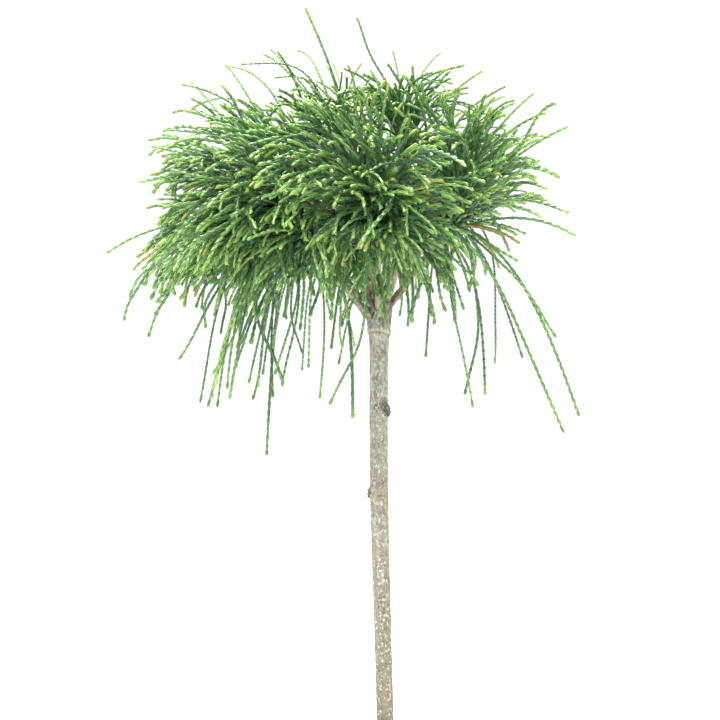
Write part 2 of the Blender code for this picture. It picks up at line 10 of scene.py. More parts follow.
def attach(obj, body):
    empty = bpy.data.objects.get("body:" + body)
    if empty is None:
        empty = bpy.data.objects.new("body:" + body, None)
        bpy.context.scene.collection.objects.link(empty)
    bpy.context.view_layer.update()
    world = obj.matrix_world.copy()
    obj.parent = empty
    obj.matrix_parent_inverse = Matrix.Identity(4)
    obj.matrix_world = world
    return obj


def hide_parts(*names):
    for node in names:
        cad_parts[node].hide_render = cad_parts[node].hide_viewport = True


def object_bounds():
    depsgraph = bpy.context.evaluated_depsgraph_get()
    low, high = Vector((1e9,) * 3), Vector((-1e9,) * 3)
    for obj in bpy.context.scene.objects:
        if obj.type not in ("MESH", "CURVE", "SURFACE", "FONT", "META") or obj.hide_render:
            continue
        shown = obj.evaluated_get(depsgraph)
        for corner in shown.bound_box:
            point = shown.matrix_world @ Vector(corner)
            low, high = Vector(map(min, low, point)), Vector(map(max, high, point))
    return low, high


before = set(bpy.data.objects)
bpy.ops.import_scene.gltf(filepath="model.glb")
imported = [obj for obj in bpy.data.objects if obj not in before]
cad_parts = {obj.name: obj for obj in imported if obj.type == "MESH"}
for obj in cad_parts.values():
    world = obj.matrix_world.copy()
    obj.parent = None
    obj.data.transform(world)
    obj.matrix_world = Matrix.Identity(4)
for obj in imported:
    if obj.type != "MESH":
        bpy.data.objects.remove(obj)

cad_low, cad_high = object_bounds()

# ---------------------------------------------------------------- camera
# A portrait lens on a tripod, level, a little above the middle of the bare stem.
# It takes in the whole crown and most of the stem, and leaves the foot below the view.

bpy.ops.object.camera_add(location=(-0.027, -1.6, 0.54), rotation=(math.radians(90), 0, 0))
camera = bpy.context.object
camera.name = "portrait_camera"
camera.data.lens = 80
camera.data.sensor_width = 36
camera.data.clip_end = 60
bpy.context.scene.camera = camera

# ---------------------------------------------------------------- studio
# A white room: a broad matt floor, bright walls, two cloth softboxes and a lit ceiling panel.
# One softbox stands high at the front left, and the other hangs above the crown.

WHITE = (1, 1, 1, 1)


def wire(node, values, feeds):
    """Fills a shader node's sockets: some with plain values, others from other nodes."""
    for socket, value in values.items():
        node.inputs[socket].default_value = value
    for socket, source in feeds.items():
        node.id_data.links.new(source, node.inputs[socket])


def add_node(tree, kind, values=None, feeds=None, **traits):
    """A new shader node. Its traits come first, because its sockets depend on them."""
    made = tree.nodes.new(kind)
    for trait, value in traits.items():
        setattr(made, trait, value)
    wire(made, values or {}, feeds or {})
    return made


def new_finish(name, values):
    """A new material with one shader, and plain values for some of its sockets."""
    made = bpy.data.materials.new(name)
    made.use_nodes = True
    wire(made.node_tree.nodes["Principled BSDF"], values, {})
    return made


bpy.ops.mesh.primitive_plane_add(size=24, location=(0, 0, 0))
floor = bpy.context.object
floor.name = "studio_floor"
floor_paint = {"Base Color": (0.93, 0.93, 0.92, 1), "Roughness": 0.9, "Specular IOR Level": 0.1}
floor.data.materials.append(new_finish("white_floor_paint", floor_paint))

white_room = bpy.data.worlds.new("white_room")
white_room.use_nodes = True
room_tree = white_room.node_tree
walls_lit = room_tree.nodes["Background"]
wire(walls_lit, {"Color": WHITE, "Strength": 0.78}, {})
walls_seen = add_node(room_tree, "ShaderNodeBackground", {"Color": WHITE, "Strength": 1.1})
ray_kind = add_node(room_tree, "ShaderNodeLightPath")
by_ray = add_node(room_tree, "ShaderNodeMixShader", feeds={"Fac": ray_kind.outputs["Is Camera Ray"]})
wire(by_ray, {}, {1: walls_lit.outputs["Background"], 2: walls_seen.outputs["Background"]})
wire(room_tree.nodes["World Output"], {}, {"Surface": by_ray.outputs["Shader"]})
bpy.context.scene.world = white_room
bpy.context.scene.view_settings.view_transform = "Standard"


def softbox(name, place, aim, size, power):
    """A square lamp that faces the point it is aimed at."""
    bpy.ops.object.light_add(type="AREA", location=place)
    lamp = bpy.context.object
    lamp.name = name
    lamp.data.shape = "SQUARE"
    lamp.data.size = size
    lamp.data.energy = power
    lamp.rotation_euler = (Vector(aim) - Vector(place)).to_track_quat("-Z", "Y").to_euler()


softbox("key_softbox", (-0.7, -1.5, 2.7), (0, 0, 0.7), 1.0, 88)
softbox("top_softbox", (0.2, 0.5, 2.6), (0, 0, 0.7), 1.2, 165)
bpy.ops.object.light_add(type="SUN", location=(0, 0, 3), rotation=(math.radians(18), 0, 0))
ceiling_panel = bpy.context.object
ceiling_panel.name = "ceiling_panel"
ceiling_panel.data.energy = 2.2
ceiling_panel.data.angle = math.radians(60)

# ---------------------------------------------------------------- stem
# One bare rootstock stem, smooth greyish bark with corky specks and healed pruning scars,
# flared where it meets the ground and swollen at the top, where the scion was grafted on.

STEM_LEAN = -0.010  # the graft stands this far to the left of the foot
STEM_RADIUS = 0.009
STEM_TOP = 0.608
STEM_SIDES = 84
UPRIGHT_EDGE = 0.001  # an edge that rises more than this runs up the stem
RING_CUTS = (100, 3)  # in two rounds, because one makes no more than 100
FOOT_HEIGHT = 0.008  # up to here the stem is upright
SWAY, SWAY_TURNS = 0.0022, 1.2
FLARE, FLARE_FADE = 0.008, 0.0231
SWELL, SWELL_HEIGHT, SWELL_WIDTH = 0.004, 0.589, 0.024
SHOULDER_HEIGHT, SHOULDER_DEPTH = 0.596, 0.012  # where the top of the graft rounds over
ROOT_LOBES, LOBE_SHARE, LOBE_FADE = 5, 0.22, 0.0275
RIM_HEIGHT, RIM_TILT = 0.5675, 0.0040  # the rolled edge where the rootstock's bark ends
CORKY_HEIGHT, CORKY_WIDTH = 0.594, 0.021  # the scion's furrowed bark above the rim
FURROW_WIDTH = 0.26
STEM_RELIEF = 0.00045
SMOOTH_BELOW = math.radians(50)  # edges that turn less than this are shaded smooth


def hill(offset, width, power=2):
    """1 in the middle, falling away smoothly over a width to both sides."""
    return math.exp(-((offset / width) ** power))


def stem_centre(height):
    """The stem's centre line, upright at the foot and swaying slightly above it."""
    share = max(0.0, height - FOOT_HEIGHT) / (STEM_TOP - FOOT_HEIGHT)
    sway = SWAY * math.sin(share * SWAY_TURNS * 2 * math.pi)
    return Vector(((share**1.1) * STEM_LEAN + sway * share, 0, height))


def stem_radius(height):
    """Flare at the foot, nearly even above it, and the swelling of the graft union."""
    flare = FLARE * math.exp(-height / FLARE_FADE)
    swell = SWELL * hill(height - SWELL_HEIGHT, SWELL_WIDTH)
    shoulder = 0.30 * STEM_RADIUS * max(0.0, (height - SHOULDER_HEIGHT) / SHOULDER_DEPTH)
    return STEM_RADIUS * (0.985 - 0.03 * math.sin(height * 9)) + flare + swell - shoulder


PRUNING_SCARS = (
    # height, azimuth in degrees, radius of the collar, how far it stands out
    (0.489, 323, 0.0066, 0.0021),
    (0.498, 306, 0.0042, 0.0007),
    (0.407, 196, 0.0052, 0.0022),
    (0.184, 262, 0.0044, 0.0010),
    (0.300, 80, 0.0048, 0.0012),
)
SCAR_REACH = 2.2  # radii from the middle of a scar to where the bark is even again
SCAR_STRETCH = 1.2  # how much taller than wide a scar is


def compass(azimuth, rise=0.0):
    """Unit direction: 0 degrees is to the right, 90 to the back."""
    turn, lift = math.radians(azimuth), math.radians(rise)
    return Vector((math.cos(turn) * math.cos(lift), math.sin(turn) * math.cos(lift), math.sin(lift)))


def bark_noise(out, height, around, along_limb, shift=(0, 0, 0)):
    """Noise over a limb's skin, as fine as asked around the limb and along each metre of it."""
    return noise.noise(Vector((out.x * around, out.y * around, height * along_limb)) + Vector(shift))


def bark_relief(out, height, depth):
    """How far bark stands out: ridges along the grain, warts, and short cross-wise pores."""
    fibres = bark_noise(out, height, 6, 80)
    plates = bark_noise(out, height, 2, 70, (9, 2, 5))
    warts = bark_noise(out, height, 4.5, 380, (1, 7, 3))
    pores = bark_noise(out, height, 2.6, 640, (3, 8, 1))
    return depth * (0.5 * fibres + 0.7 * plates + 0.35 * warts + 0.8 * max(0.0, pores - 0.25))


def furrow_depth(ridges):
    """How deep in a furrow a place is, from the noise that makes the ridges on both sides."""
    return max(0.0, FURROW_WIDTH - abs(ridges)) / FURROW_WIDTH


def scar_relief(height, out):
    """The healed collars: how far they stand out, and how corky and dark they are."""
    rise, cork = 0.0, 0.0
    for scar_height, azimuth, radius, proud in PRUNING_SCARS:
        across = out.angle(compass(azimuth)) * stem_radius(scar_height)
        far = math.hypot(across, (height - scar_height) / SCAR_STRETCH) / radius
        if far < SCAR_REACH:
            rough = noise.noise(Vector((across * 700, height * 700, azimuth)))
            lip = math.exp(-((far - 0.62) ** 2) / 0.07) * (1 + 0.5 * rough)
            dome = 0.7 * math.exp(-(far**2) / 0.5)
            pit = 0.9 * math.exp(-(far**2) / 0.04)
            rise += proud * (lip + dome - pit)
            ring = 0.75 + 0.25 * math.cos(far * 11 + 3 * rough)
            worn = math.exp(-((far + 0.25 * rough) ** 4) / 0.9)
            cork += ring * worn * (0.5 + 0.5 * (proud > 0.001))
    return rise, min(1.0, cork)


def union_relief(height, out):
    """The graft: a rolled lower rim, and above it the scion's bark, split in deep furrows."""
    rim = height - RIM_HEIGHT - RIM_TILT * math.cos(math.atan2(out.y, out.x) + 1.9)
    rise = 0.0011 * hill(rim, 0.0020) - 0.0004 * hill(rim + 0.004, 0.0014)
    rough = hill(height - CORKY_HEIGHT, CORKY_WIDTH, 4) if rim > 0 else 0.0
    ridges = bark_noise(out, height, 5.5, 95, (2, 6, 4))
    fine = bark_noise(out, height, 12, 260)
    furrow = furrow_depth(ridges)
    rise += rough * (0.0016 * (abs(ridges) - 0.3) + 0.0005 * fine - 0.0006 * furrow)
    seam = hill(rim + 0.0035, 0.0011) + 0.8 * hill(rim - 0.0030, 0.0010)
    return rise, max(0.7 * seam, rough * (0.42 + 0.58 * furrow))


bpy.ops.object.select_all(action="DESELECT")
bpy.ops.mesh.primitive_cylinder_add(
    vertices=STEM_SIDES, radius=STEM_RADIUS, depth=STEM_TOP, location=(0, 0, STEM_TOP / 2)
)
stem = bpy.context.object
stem.name = "stem_bark"
bpy.ops.object.transform_apply(location=True, rotation=True, scale=True)
bpy.ops.object.mode_set(mode="EDIT")
for cuts in RING_CUTS:
    bpy.ops.mesh.select_all(action="DESELECT")
    shape = bmesh.from_edit_mesh(stem.data)
    for edge in shape.edges:
        edge.select = abs(edge.verts[0].co.z - edge.verts[1].co.z) > UPRIGHT_EDGE
    bmesh.update_edit_mesh(stem.data)
    bpy.ops.mesh.subdivide(number_cuts=cuts, smoothness=0)
bpy.ops.object.mode_set(mode="OBJECT")
corkiness = []
for vertex in stem.data.vertices:
    height = vertex.co.z
    out = Vector((vertex.co.x, vertex.co.y, 0)).normalized()
    lobes = math.cos(ROOT_LOBES * math.atan2(out.y, out.x) + 0.6)
    scar_rise, scar_cork = scar_relief(height, out)
    union_rise, union_cork = union_relief(height, out)
    radius = stem_radius(height) * (1 + LOBE_SHARE * lobes * math.exp(-height / LOBE_FADE))
    radius += bark_relief(out, height, STEM_RELIEF) + scar_rise + union_rise
    corkiness.append(min(1.0, scar_cork + union_cork + 0.35 * math.exp(-height / 0.03)))
    vertex.co = stem_centre(height) + out * radius
stem.data.attributes.new("corkiness", "FLOAT", "POINT").data.foreach_set("value", corkiness)
bpy.ops.object.select_all(action="DESELECT")
stem.select_set(True)
bpy.context.view_layer.objects.active = stem
bpy.ops.object.shade_smooth_by_angle(angle=SMOOTH_BELOW)


def bark_grain_group():
    """Bark: plates, warmer patches, dark cork and pale lichen, and pale bands along the grain that are
    partly painted highlight, with roughness and relief.
    """
    group = bpy.data.node_groups.new("bark_grain", "ShaderNodeTree")
    sockets = [(name, "INPUT", "Color") for name in ("Plates", "Patches", "Cork", "LichenAndHighlight")]
    sockets += [("Grain", "INPUT", "Vector"), ("Corkiness", "INPUT", "Float")]
    sockets += [("Color", "OUTPUT", "Color")]
    sockets += [(name, "OUTPUT", "Float") for name in ("Roughness", "Height")]
    for name, way, kind in sockets:
        group.interface.new_socket(name=name, in_out=way, socket_type=f"NodeSocket{kind}")
    given = add_node(group, "NodeGroupInput").outputs
    place = add_node(group, "ShaderNodeTexCoord").outputs["Object"]

    def product(values, feeds):
        """Two vectors multiplied, from plain values or from other nodes."""
        made = add_node(group, "ShaderNodeVectorMath", values, feeds, operation="MULTIPLY")
        return made.outputs["Vector"]

    grain = product({}, {0: place, 1: given["Grain"]})
    streaks = product({1: (1, 1, 0.09)}, {0: grain})

    def cloud(scale, detail, low, high, top, across=grain):
        """A noise pattern, and the share of it that lies between two levels."""
        looks = {"Scale": scale, "Detail": detail, "Roughness": 0.62}
        made = add_node(group, "ShaderNodeTexNoise", looks, {"Vector": across}).outputs["Fac"]
        levels = {"From Min": low, "From Max": high, "To Max": top}
        return made, add_node(group, "ShaderNodeMapRange", levels, {"Value": made}).outputs["Result"]

    def over(under, colour, share):
        """One colour laid over another."""
        feeds = {"Factor": share, "A": under, "B": colour}
        return add_node(group, "ShaderNodeMix", feeds=feeds, data_type="RGBA").outputs["Result"]

    height = add_node(group, "ShaderNodeSeparateXYZ", feeds={"Vector": place}).outputs["Z"]
    heights = {"From Min": 0.52, "From Max": 0.20, "To Max": 0.85}
    old_wood = add_node(group, "ShaderNodeMapRange", heights, {"Value": height}).outputs["Result"]
    patches = cloud(0.42, 4, 0.46, 0.64, 0.85)[1]
    # Pale bands along the grain in the lichen colour: partly pale bark, partly painted highlight streaks
    # running up the limb.
    pale_and_highlight_bands = cloud(0.38, 3, 0.40, 0.62, 0.42, streaks)[1]
    speck_noise, specks = cloud(1.05, 5, 0.54, 0.66, 0.66)
    lichen_noise, lichen = cloud(0.95, 6, 0.53, 0.62, 0.82)
    bias = add_node(group, "ShaderNodeMath", {1: 0.9}, {0: speck_noise}, operation="ADD")
    dark = add_node(group, "ShaderNodeMath", {2: -0.32}, operation="MULTIPLY_ADD", use_clamp=True)
    wire(dark, {}, {0: given["Corkiness"], 1: bias.outputs["Value"]})
    colour = given["Plates"]
    for name, share in (
        ("LichenAndHighlight", pale_and_highlight_bands),
        ("Patches", patches),
        ("Patches", old_wood),
        ("LichenAndHighlight", lichen),
        ("Cork", specks),
        ("Cork", dark.outputs["Value"]),
    ):
        colour = over(colour, given[name], share)
    rough = add_node(group, "ShaderNodeMapRange", {"To Min": 0.6, "To Max": 0.95}, {"Value": lichen_noise})
    relief = add_node(group, "ShaderNodeMath", {1: 0.8}, operation="MULTIPLY_ADD")
    wire(relief, {}, {0: lichen_noise, 2: speck_noise})
    made = {"Color": colour, "Roughness": rough.outputs["Result"], "Height": relief.outputs["Value"]}
    add_node(group, "NodeGroupOutput", feeds=made)
    return group


bark_grain = bark_grain_group()


def bark_finish(name, plates, patches, cork, lichen, grain, bump):
    """A bark: the shared pattern in its own four colours, grain and depth."""
    made = new_finish(name, {"Specular IOR Level": 0.25})
    tree = made.node_tree
    corky = add_node(tree, "ShaderNodeAttribute", attribute_name="corkiness").outputs["Fac"]
    # The lichen colour also paints the pale bands along the grain, partly as painted highlight.
    colours = {"Plates": plates, "Patches": patches, "Cork": cork, "LichenAndHighlight": lichen}
    values = {socket: (*colour, 1) for socket, colour in colours.items()}
    values["Grain"] = grain
    pattern = add_node(tree, "ShaderNodeGroup", values, {"Corkiness": corky}, node_tree=bark_grain).outputs
    depths = {"Strength": bump, "Distance": 0.0008}
    relief = add_node(tree, "ShaderNodeBump", depths, {"Height": pattern["Height"]}).outputs["Normal"]
    looks = {"Base Color": pattern["Color"], "Roughness": pattern["Roughness"], "Normal": relief}
    wire(tree.nodes["Principled BSDF"], {}, looks)
    return made


stem.data.materials.append(
    bark_finish(
        "stem_bark_finish",
        plates=(0.245, 0.242, 0.185),
        patches=(0.160, 0.134, 0.095),
        cork=(0.034, 0.035, 0.024),
        lichen=(0.46, 0.47, 0.385),
        grain=(400, 400, 300),
        bump=0.55,
    )
)
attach(stem, "root")
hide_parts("stem")

# ---------------------------------------------------------------- leaders and boughs
# Young branches of the grafted scion: two upright leaders out of the union, and a ring of
# boughs round them. Their bark is browner than the stem's and flakes in thin strips.

CROWN_CENTRE = Vector((-0.042, 0, 0.700))
CROWN_TILT = 0.05  # the left side hangs lower: rise for each metre to the right
AXIS_FOOT = Vector((STEM_LEAN, 0, 0))
UP = Vector((0, 0, 1))
LEADERS = {
    # the root, pull and tip of its curve, and its radii at the root and the tip
    "leader_left": (
        ((-0.0155, 0.001, 0.599), (-0.0120, 0.004, 0.665), (-0.026, 0.006, 0.730)),
        (0.0049, 0.0032),
    ),
    "leader_right": (
        ((-0.0050, -0.002, 0.597), (0.0200, -0.006, 0.645), (0.016, -0.006, 0.728)),
        (0.0046, 0.0031),
    ),
}
LEADER_POINTS, BOUGH_POINTS = 24, 20
SIDES = ("back_right", "back", "back_left", "front_left", "front", "front_right")
BOUGH_ROOTS = (0.585, 0.573)  # the heights at which every other bough leaves the graft
BOUGH_FORK = 0.643  # where the front right one leaves its leader
BOUGH_TIP = (0.066, 0.650)  # out from the axis, and up
BOUGH_SAG = 0.007
BOUGH_RADII = (0.0039, 0.0025)
FORKED_RADII = (0.0030, 0.0025)
LIMB_RELIEF, RIDGE_RELIEF = 0.0004, 0.0010
ROUGH_BELOW, ROUGH_FADE = 0.628, 0.022  # limbs are furrowed near the graft only


def mix(a, b, share):
    """A value between two others."""
    return a + (b - a) * share


def bezier(a, b, c, count):
    """Points along a quadratic curve from a to c, pulled towards b."""
    shares = [index / (count - 1) for index in range(count)]
    return [a * (1 - t) ** 2 + b * 2 * t * (1 - t) + c * t**2 for t in shares]


def at_height(points, height):
    """Where a rising path crosses a height."""
    for low, high in zip(points, points[1:]):
        if low.z <= height <= high.z:
            return mix(low, high, (height - low.z) / (high.z - low.z))
    return points[-1].copy()


def along(points, share):
    """The point at a share of the way along a path."""
    place = max(0.0, min(0.9999, share)) * (len(points) - 1)
    low = int(place)
    return mix(points[low], points[low + 1], place - low)


limbs = {}
for leader, (spots, radii) in LEADERS.items():
    limbs[leader] = (bezier(*map(Vector, spots), LEADER_POINTS), radii)
side_azimuths = [360 / len(SIDES) * (index + 0.5) for index in range(len(SIDES))]
for index, side in enumerate(SIDES):
    root, radii = stem_centre(BOUGH_ROOTS[index % 2]), BOUGH_RADII
    if side == "front_right":
        root, radii = at_height(limbs["leader_right"][0], BOUGH_FORK), FORKED_RADII
    tip = AXIS_FOOT + compass(side_azimuths[index]) * BOUGH_TIP[0]
    tip.z = BOUGH_TIP[1] + CROWN_TILT * (tip.x - CROWN_CENTRE.x)
    waist = mix(root, tip, 0.50) - UP * BOUGH_SAG
    limbs[f"bough_{side}"] = (bezier(root, waist, tip, BOUGH_POINTS), radii)


def limb_mesh(name, points, radii, sides=14):
    """A tapering limb with a collar at its root and knots along it, closed at both ends."""
    bpy.ops.curve.primitive_nurbs_path_add(location=(0, 0, 0))
    guide = bpy.context.object
    guide.name = name
    guide.data.splines.clear()
    spline = guide.data.splines.new("POLY")
    spline.points.add(len(points) - 1)
    for place, (spot, point) in enumerate(zip(spline.points, points)):
        share = place / (len(points) - 1)
        knots = 0.10 * math.sin(share * 37) ** 8
        collar = 0.45 * math.exp(-share * 5)
        spot.co = (*point, 1)
        spot.radius = mix(radii[0], radii[1], share) * (1 + knots + collar)
    guide.data.bevel_depth = 1
    guide.data.bevel_resolution = (sides - 4) // 2
    guide.data.use_fill_caps = True
    bpy.ops.object.convert(target="MESH")
    bpy.ops.object.mode_set(mode="EDIT")
    bpy.ops.mesh.select_all(action="SELECT")
    bpy.ops.mesh.remove_doubles(threshold=0.00001)
    bpy.ops.mesh.normals_make_consistent(inside=False)
    bpy.ops.object.mode_set(mode="OBJECT")
    return guide


bough_bark_finish = bark_finish(
    "bough_bark_finish",
    plates=(0.30, 0.25, 0.175),
    patches=(0.22, 0.155, 0.10),
    cork=(0.08, 0.062, 0.040),
    lichen=(0.40, 0.38, 0.29),
    grain=(420, 420, 200),
    bump=0.6,
)
for limb_name, (points, radii) in limbs.items():
    bpy.ops.object.select_all(action="DESELECT")
    limb = limb_mesh(limb_name + "_bark", points, radii)
    corkiness = []
    for vertex in limb.data.vertices:
        rough = max(0.0, min(1.0, (ROUGH_BELOW - vertex.co.z) / ROUGH_FADE))
        ridges = abs(bark_noise(vertex.normal, vertex.co.z, 4, 95))
        corkiness.append(rough * (0.48 + 0.52 * furrow_depth(ridges)))
        rise = bark_relief(vertex.normal, vertex.co.z, LIMB_RELIEF) + rough * RIDGE_RELIEF * (ridges - 0.3)
        vertex.co += vertex.normal * rise
    limb.data.attributes.new("corkiness", "FLOAT", "POINT").data.foreach_set("value", corkiness)
    bpy.ops.object.shade_smooth_by_angle(angle=SMOOTH_BELOW)
    limb.data.materials.append(bough_bark_finish)
    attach(limb, "root")
    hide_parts(limb_name)

# ---------------------------------------------------------------- twigs and cords
# Each bough and leader carries one mass of foliage. A woody twig carries on from its tip,
# and from that grow long cord-like shoots that arch outwards, droop, and fork sparsely.

MM = 0.001
CROWN_LEFT, CROWN_RIGHT, CROWN_DEPTH = 0.190, 0.192, 0.186
CROWN_TOP, CROWN_BOTTOM_LEFT, CROWN_BOTTOM_RIGHT = 0.106, 0.084, 0.048
CROWN_SHOULDER = 3.2  # how square the top is: 2 would be an ellipse
TOP_CONE = (0.676, 1.15)  # the point and slope of the cone that the top masses fill
TWIST = 4.0  # how much the walls between side masses turn, in radians a metre of height
TWIST_HEIGHTS = (0.620, 0.690, 0.810)  # lowest, unturned and highest
BARE_STEM = 0.026  # nothing hangs in front of the stem, this far to either side
SIDE_HEART = (0.100, 0.696)  # where a side mass's twig ends: out from the axis, and up
TOP_HEART = (66, 0.70)  # and a top mass's: its rise in degrees, and share of the reach
TWIG_GAP, TWIG_COLLAR, TWIG_TAPER, TWIG_NODES = 0.0003, 0.005, 0.62, 7
CORD_RADIUS = 0.0027
SOLID_MARGIN = CORD_RADIUS + 0.0018  # from a solid's cords to the walls of its room
FINE_MARGIN = -0.014  # finer cords mingle with the next mass's
LIMB_GAP = 0.0015
BEND_STEPS = 24  # the steps that a cord's bend is summed over
STEEPEST = math.radians(93)
LATE_TURN = 1.25
ARM_LENGTHS = (0.030, 0.260)
ARM_BEND, ARM_FAVOURITE = (34, 66), (0.070, 0.115)
ARMS = {"side": 18, "top": 13}
MORE_ARMS = {"side": 66, "top": 13}
INNER_ARMS = {"side": 15, "top": 8}
HANGING, MORE_HANGING = 2, 6
DRAPES, MORE_DRAPES = 3, 53
STRAY_LENGTH = 0.165
SIDE_LENGTH = (0.040, 0.072)
SIDE_LEAN, SIDE_BEND, SIDE_DROOP = 28, 34, 0.16
HANG_OUT, HANG_HEIGHT, HANG_DROP, HANG_LEFT = (90, 200), 0.600, 0.110, 0.014
DRAPE_HEIGHTS, DRAPE_SCATTER = (0.598, 0.670), 0.050  # at the far left and right
VEIL = ((-0.105, 0.075), (-0.12, -0.05), (0.600, 0.650))  # X, Y and Z of the tips before the boughs

stem_line = [stem_centre(height * MM) for height in range(0, 609, 19)]
guards = [(stem_line, [stem_radius(point.z) for point in stem_line])]
for points, radii in limbs.values():
    coarse = points[::3] + ([points[-1]] if (len(points) - 1) % 3 else [])
    guards.append((coarse, [mix(*radii, index / (len(coarse) - 1)) for index in range(len(coarse))]))
guard_low = np.array([point for points, _ in guards for point in points[:-1]])
guard_run = np.array([b - a for points, _ in guards for a, b in zip(points, points[1:])])
guard_size = (guard_run**2).sum(1)
guard_thick = np.array([(a, b) for _, radii in guards for a, b in zip(radii, radii[1:])])


def gap_to_limbs(points):
    """The least distance from a path to the skin of any limb."""
    steps = zip(points, points[1:])
    finer = np.array([mix(a, b, share) for a, b in steps for share in (0, 0.33, 0.67)] + [points[-1]])
    step = finer[:, None, :] - guard_low[None]
    share = np.clip((step * guard_run).sum(2) / guard_size, 0, 1)
    far = np.linalg.norm(step - guard_run * share[..., None], axis=2)
    return float((far - guard_thick[:, 0] - (guard_thick[:, 1] - guard_thick[:, 0]) * share).min())


def outline_point(direction, share):
    """The point at a share of the crown's reach from its centre, along a direction."""
    wide = CROWN_RIGHT if direction.x > 0 else CROWN_LEFT
    low = mix(CROWN_BOTTOM_LEFT, CROWN_BOTTOM_RIGHT, (1 + direction.x) / 2)
    tall = CROWN_TOP if direction.z > 0 else low
    if direction.z > 0:
        flat = math.hypot(direction.x, direction.y)
        share *= (flat**CROWN_SHOULDER + direction.z**CROWN_SHOULDER) ** (-1 / CROWN_SHOULDER)
    step = Vector((direction.x * wide, direction.y * CROWN_DEPTH, direction.z * tall)) * share
    return CROWN_CENTRE + step + UP * CROWN_TILT * step.x


def outline_share(point):
    """How far a point lies from the crown's centre, as a share of the crown's reach."""
    step = point - CROWN_CENTRE
    step.z -= CROWN_TILT * step.x
    wide = step.x / (CROWN_RIGHT if step.x > 0 else CROWN_LEFT)
    flat = math.hypot(wide, step.y / CROWN_DEPTH)
    if step.z > 0:
        return (flat**CROWN_SHOULDER + (step.z / CROWN_TOP) ** CROWN_SHOULDER) ** (1 / CROWN_SHOULDER)
    low = mix(CROWN_BOTTOM_LEFT, CROWN_BOTTOM_RIGHT, (1 + wide) / 2)
    return math.hypot(flat, step.z / low)


def in_box(points, spare=0.0035):
    """Whether a path and its leaves stay within the solids' own reach."""
    return all(
        cad_low[axis] + spare < point[axis] < cad_high[axis] - spare for point in points for axis in range(3)
    )


def drawn_in(points, spare=0.0030):
    """A cord, drawn in towards its root where its tip would pass the solids' reach."""
    share = 1.0
    for axis in range(3):
        step = points[-1][axis] - points[0][axis]
        limit = cad_high[axis] - spare if step > 0 else cad_low[axis] + spare
        if step:
            share = min(share, (limit - points[0][axis]) / step)
    return [mix(points[0], point, max(0.9, share)) for point in points]


class Room:
    """The room one mass keeps to: a wedge of compass directions, inside the cone or outside."""

    def __init__(self, storey, azimuth, width):
        self.storey, self.azimuth, self.width = storey, azimuth, width
        middle = compass(azimuth)
        self.inward = []
        for way in (-1, 1):
            wall = compass(azimuth + way * width / 2)
            self.inward.append(middle if width >= 180 else (middle - wall * middle.dot(wall)).normalized())

    def holds(self, point, margin):
        """Whether a point lies in the room, at least a margin from its walls."""
        height = point.z - CROWN_TILT * (point.x - CROWN_CENTRE.x)
        side = Vector((point.x - AXIS_FOOT.x, point.y, 0))
        above = (height - TOP_CONE[0] - TOP_CONE[1] * side.length) / math.hypot(1, TOP_CONE[1])
        if (above if self.storey == "top" else -above) < margin:
            return False
        low, square, high = TWIST_HEIGHTS
        side.rotate(Matrix.Rotation(TWIST * (max(low, min(high, height)) - square), 3, "Z"))
        return all(side.dot(inward) >= margin for inward in self.inward)


def cord_path(start, tip, bend, early, sweep, count, hook=LATE_TURN, wave=0.0):
    """A cord from start to tip that turns down along its length.

    bend is the whole turn in degrees, early makes it turn near its root, as a hanging
    cord does, and sweep pushes it sideways by a share of its length. hook sets how late
    the others turn, and wave is the size of the small bends along it, as a share.
    """
    chord = tip - start
    flat = Vector((chord.x, chord.y, 0))
    ahead = flat.normalized() if flat.length > 1e-6 else Vector((1, 0, 0))
    slope = math.atan2(chord.z, flat.length)
    shares = (np.arange(BEND_STEPS) + 0.5) / BEND_STEPS
    turned = (1 - np.exp(-4 * shares)) / (1 - math.exp(-4)) if early else shares**hook
    while True:
        angles = -math.radians(bend) * turned
        run = np.concatenate(([0.0], np.cumsum(np.cos(angles))))
        rise = np.concatenate(([0.0], np.cumsum(np.sin(angles))))
        turn = slope - math.atan2(rise[-1], run[-1])
        if angles[-1] + turn > -STEEPEST or bend < 4:
            break
        bend *= 0.85
    size = chord.length / math.hypot(run[-1], rise[-1])
    sideways = Vector((-ahead.y, ahead.x, 0))
    marks = np.arange(BEND_STEPS + 1)
    path = []
    for share in np.linspace(0, 1, count):
        x = float(np.interp(share * BEND_STEPS, marks, run)) * size
        z = float(np.interp(share * BEND_STEPS, marks, rise)) * size
        forward = x * math.cos(turn) - z * math.sin(turn)
        upward = x * math.sin(turn) + z * math.cos(turn)
        bow = math.sin(math.pi * share) * sweep * chord.length
        ripple = wave * chord.length * share * (2 - share)
        bow += ripple * math.sin(7.5 * share + 40 * sweep)
        upward += ripple * math.sin(9.0 * share + 90 * sweep)
        path.append(start + ahead * forward + UP * upward + sideways * bow)
    return path


def spread(index):
    """The index-th direction of an endless, even spread over a ball, by two unrelated steps."""
    turn = 2 * math.pi * ((index * 0.7548776662466927 + 0.31) % 1)
    height = 1 - 2 * ((index * 0.5698402909980532 + 0.17) % 1)
    flat = math.sqrt(1 - height**2)
    return Vector((math.cos(turn) * flat, math.sin(turn) * flat, height))


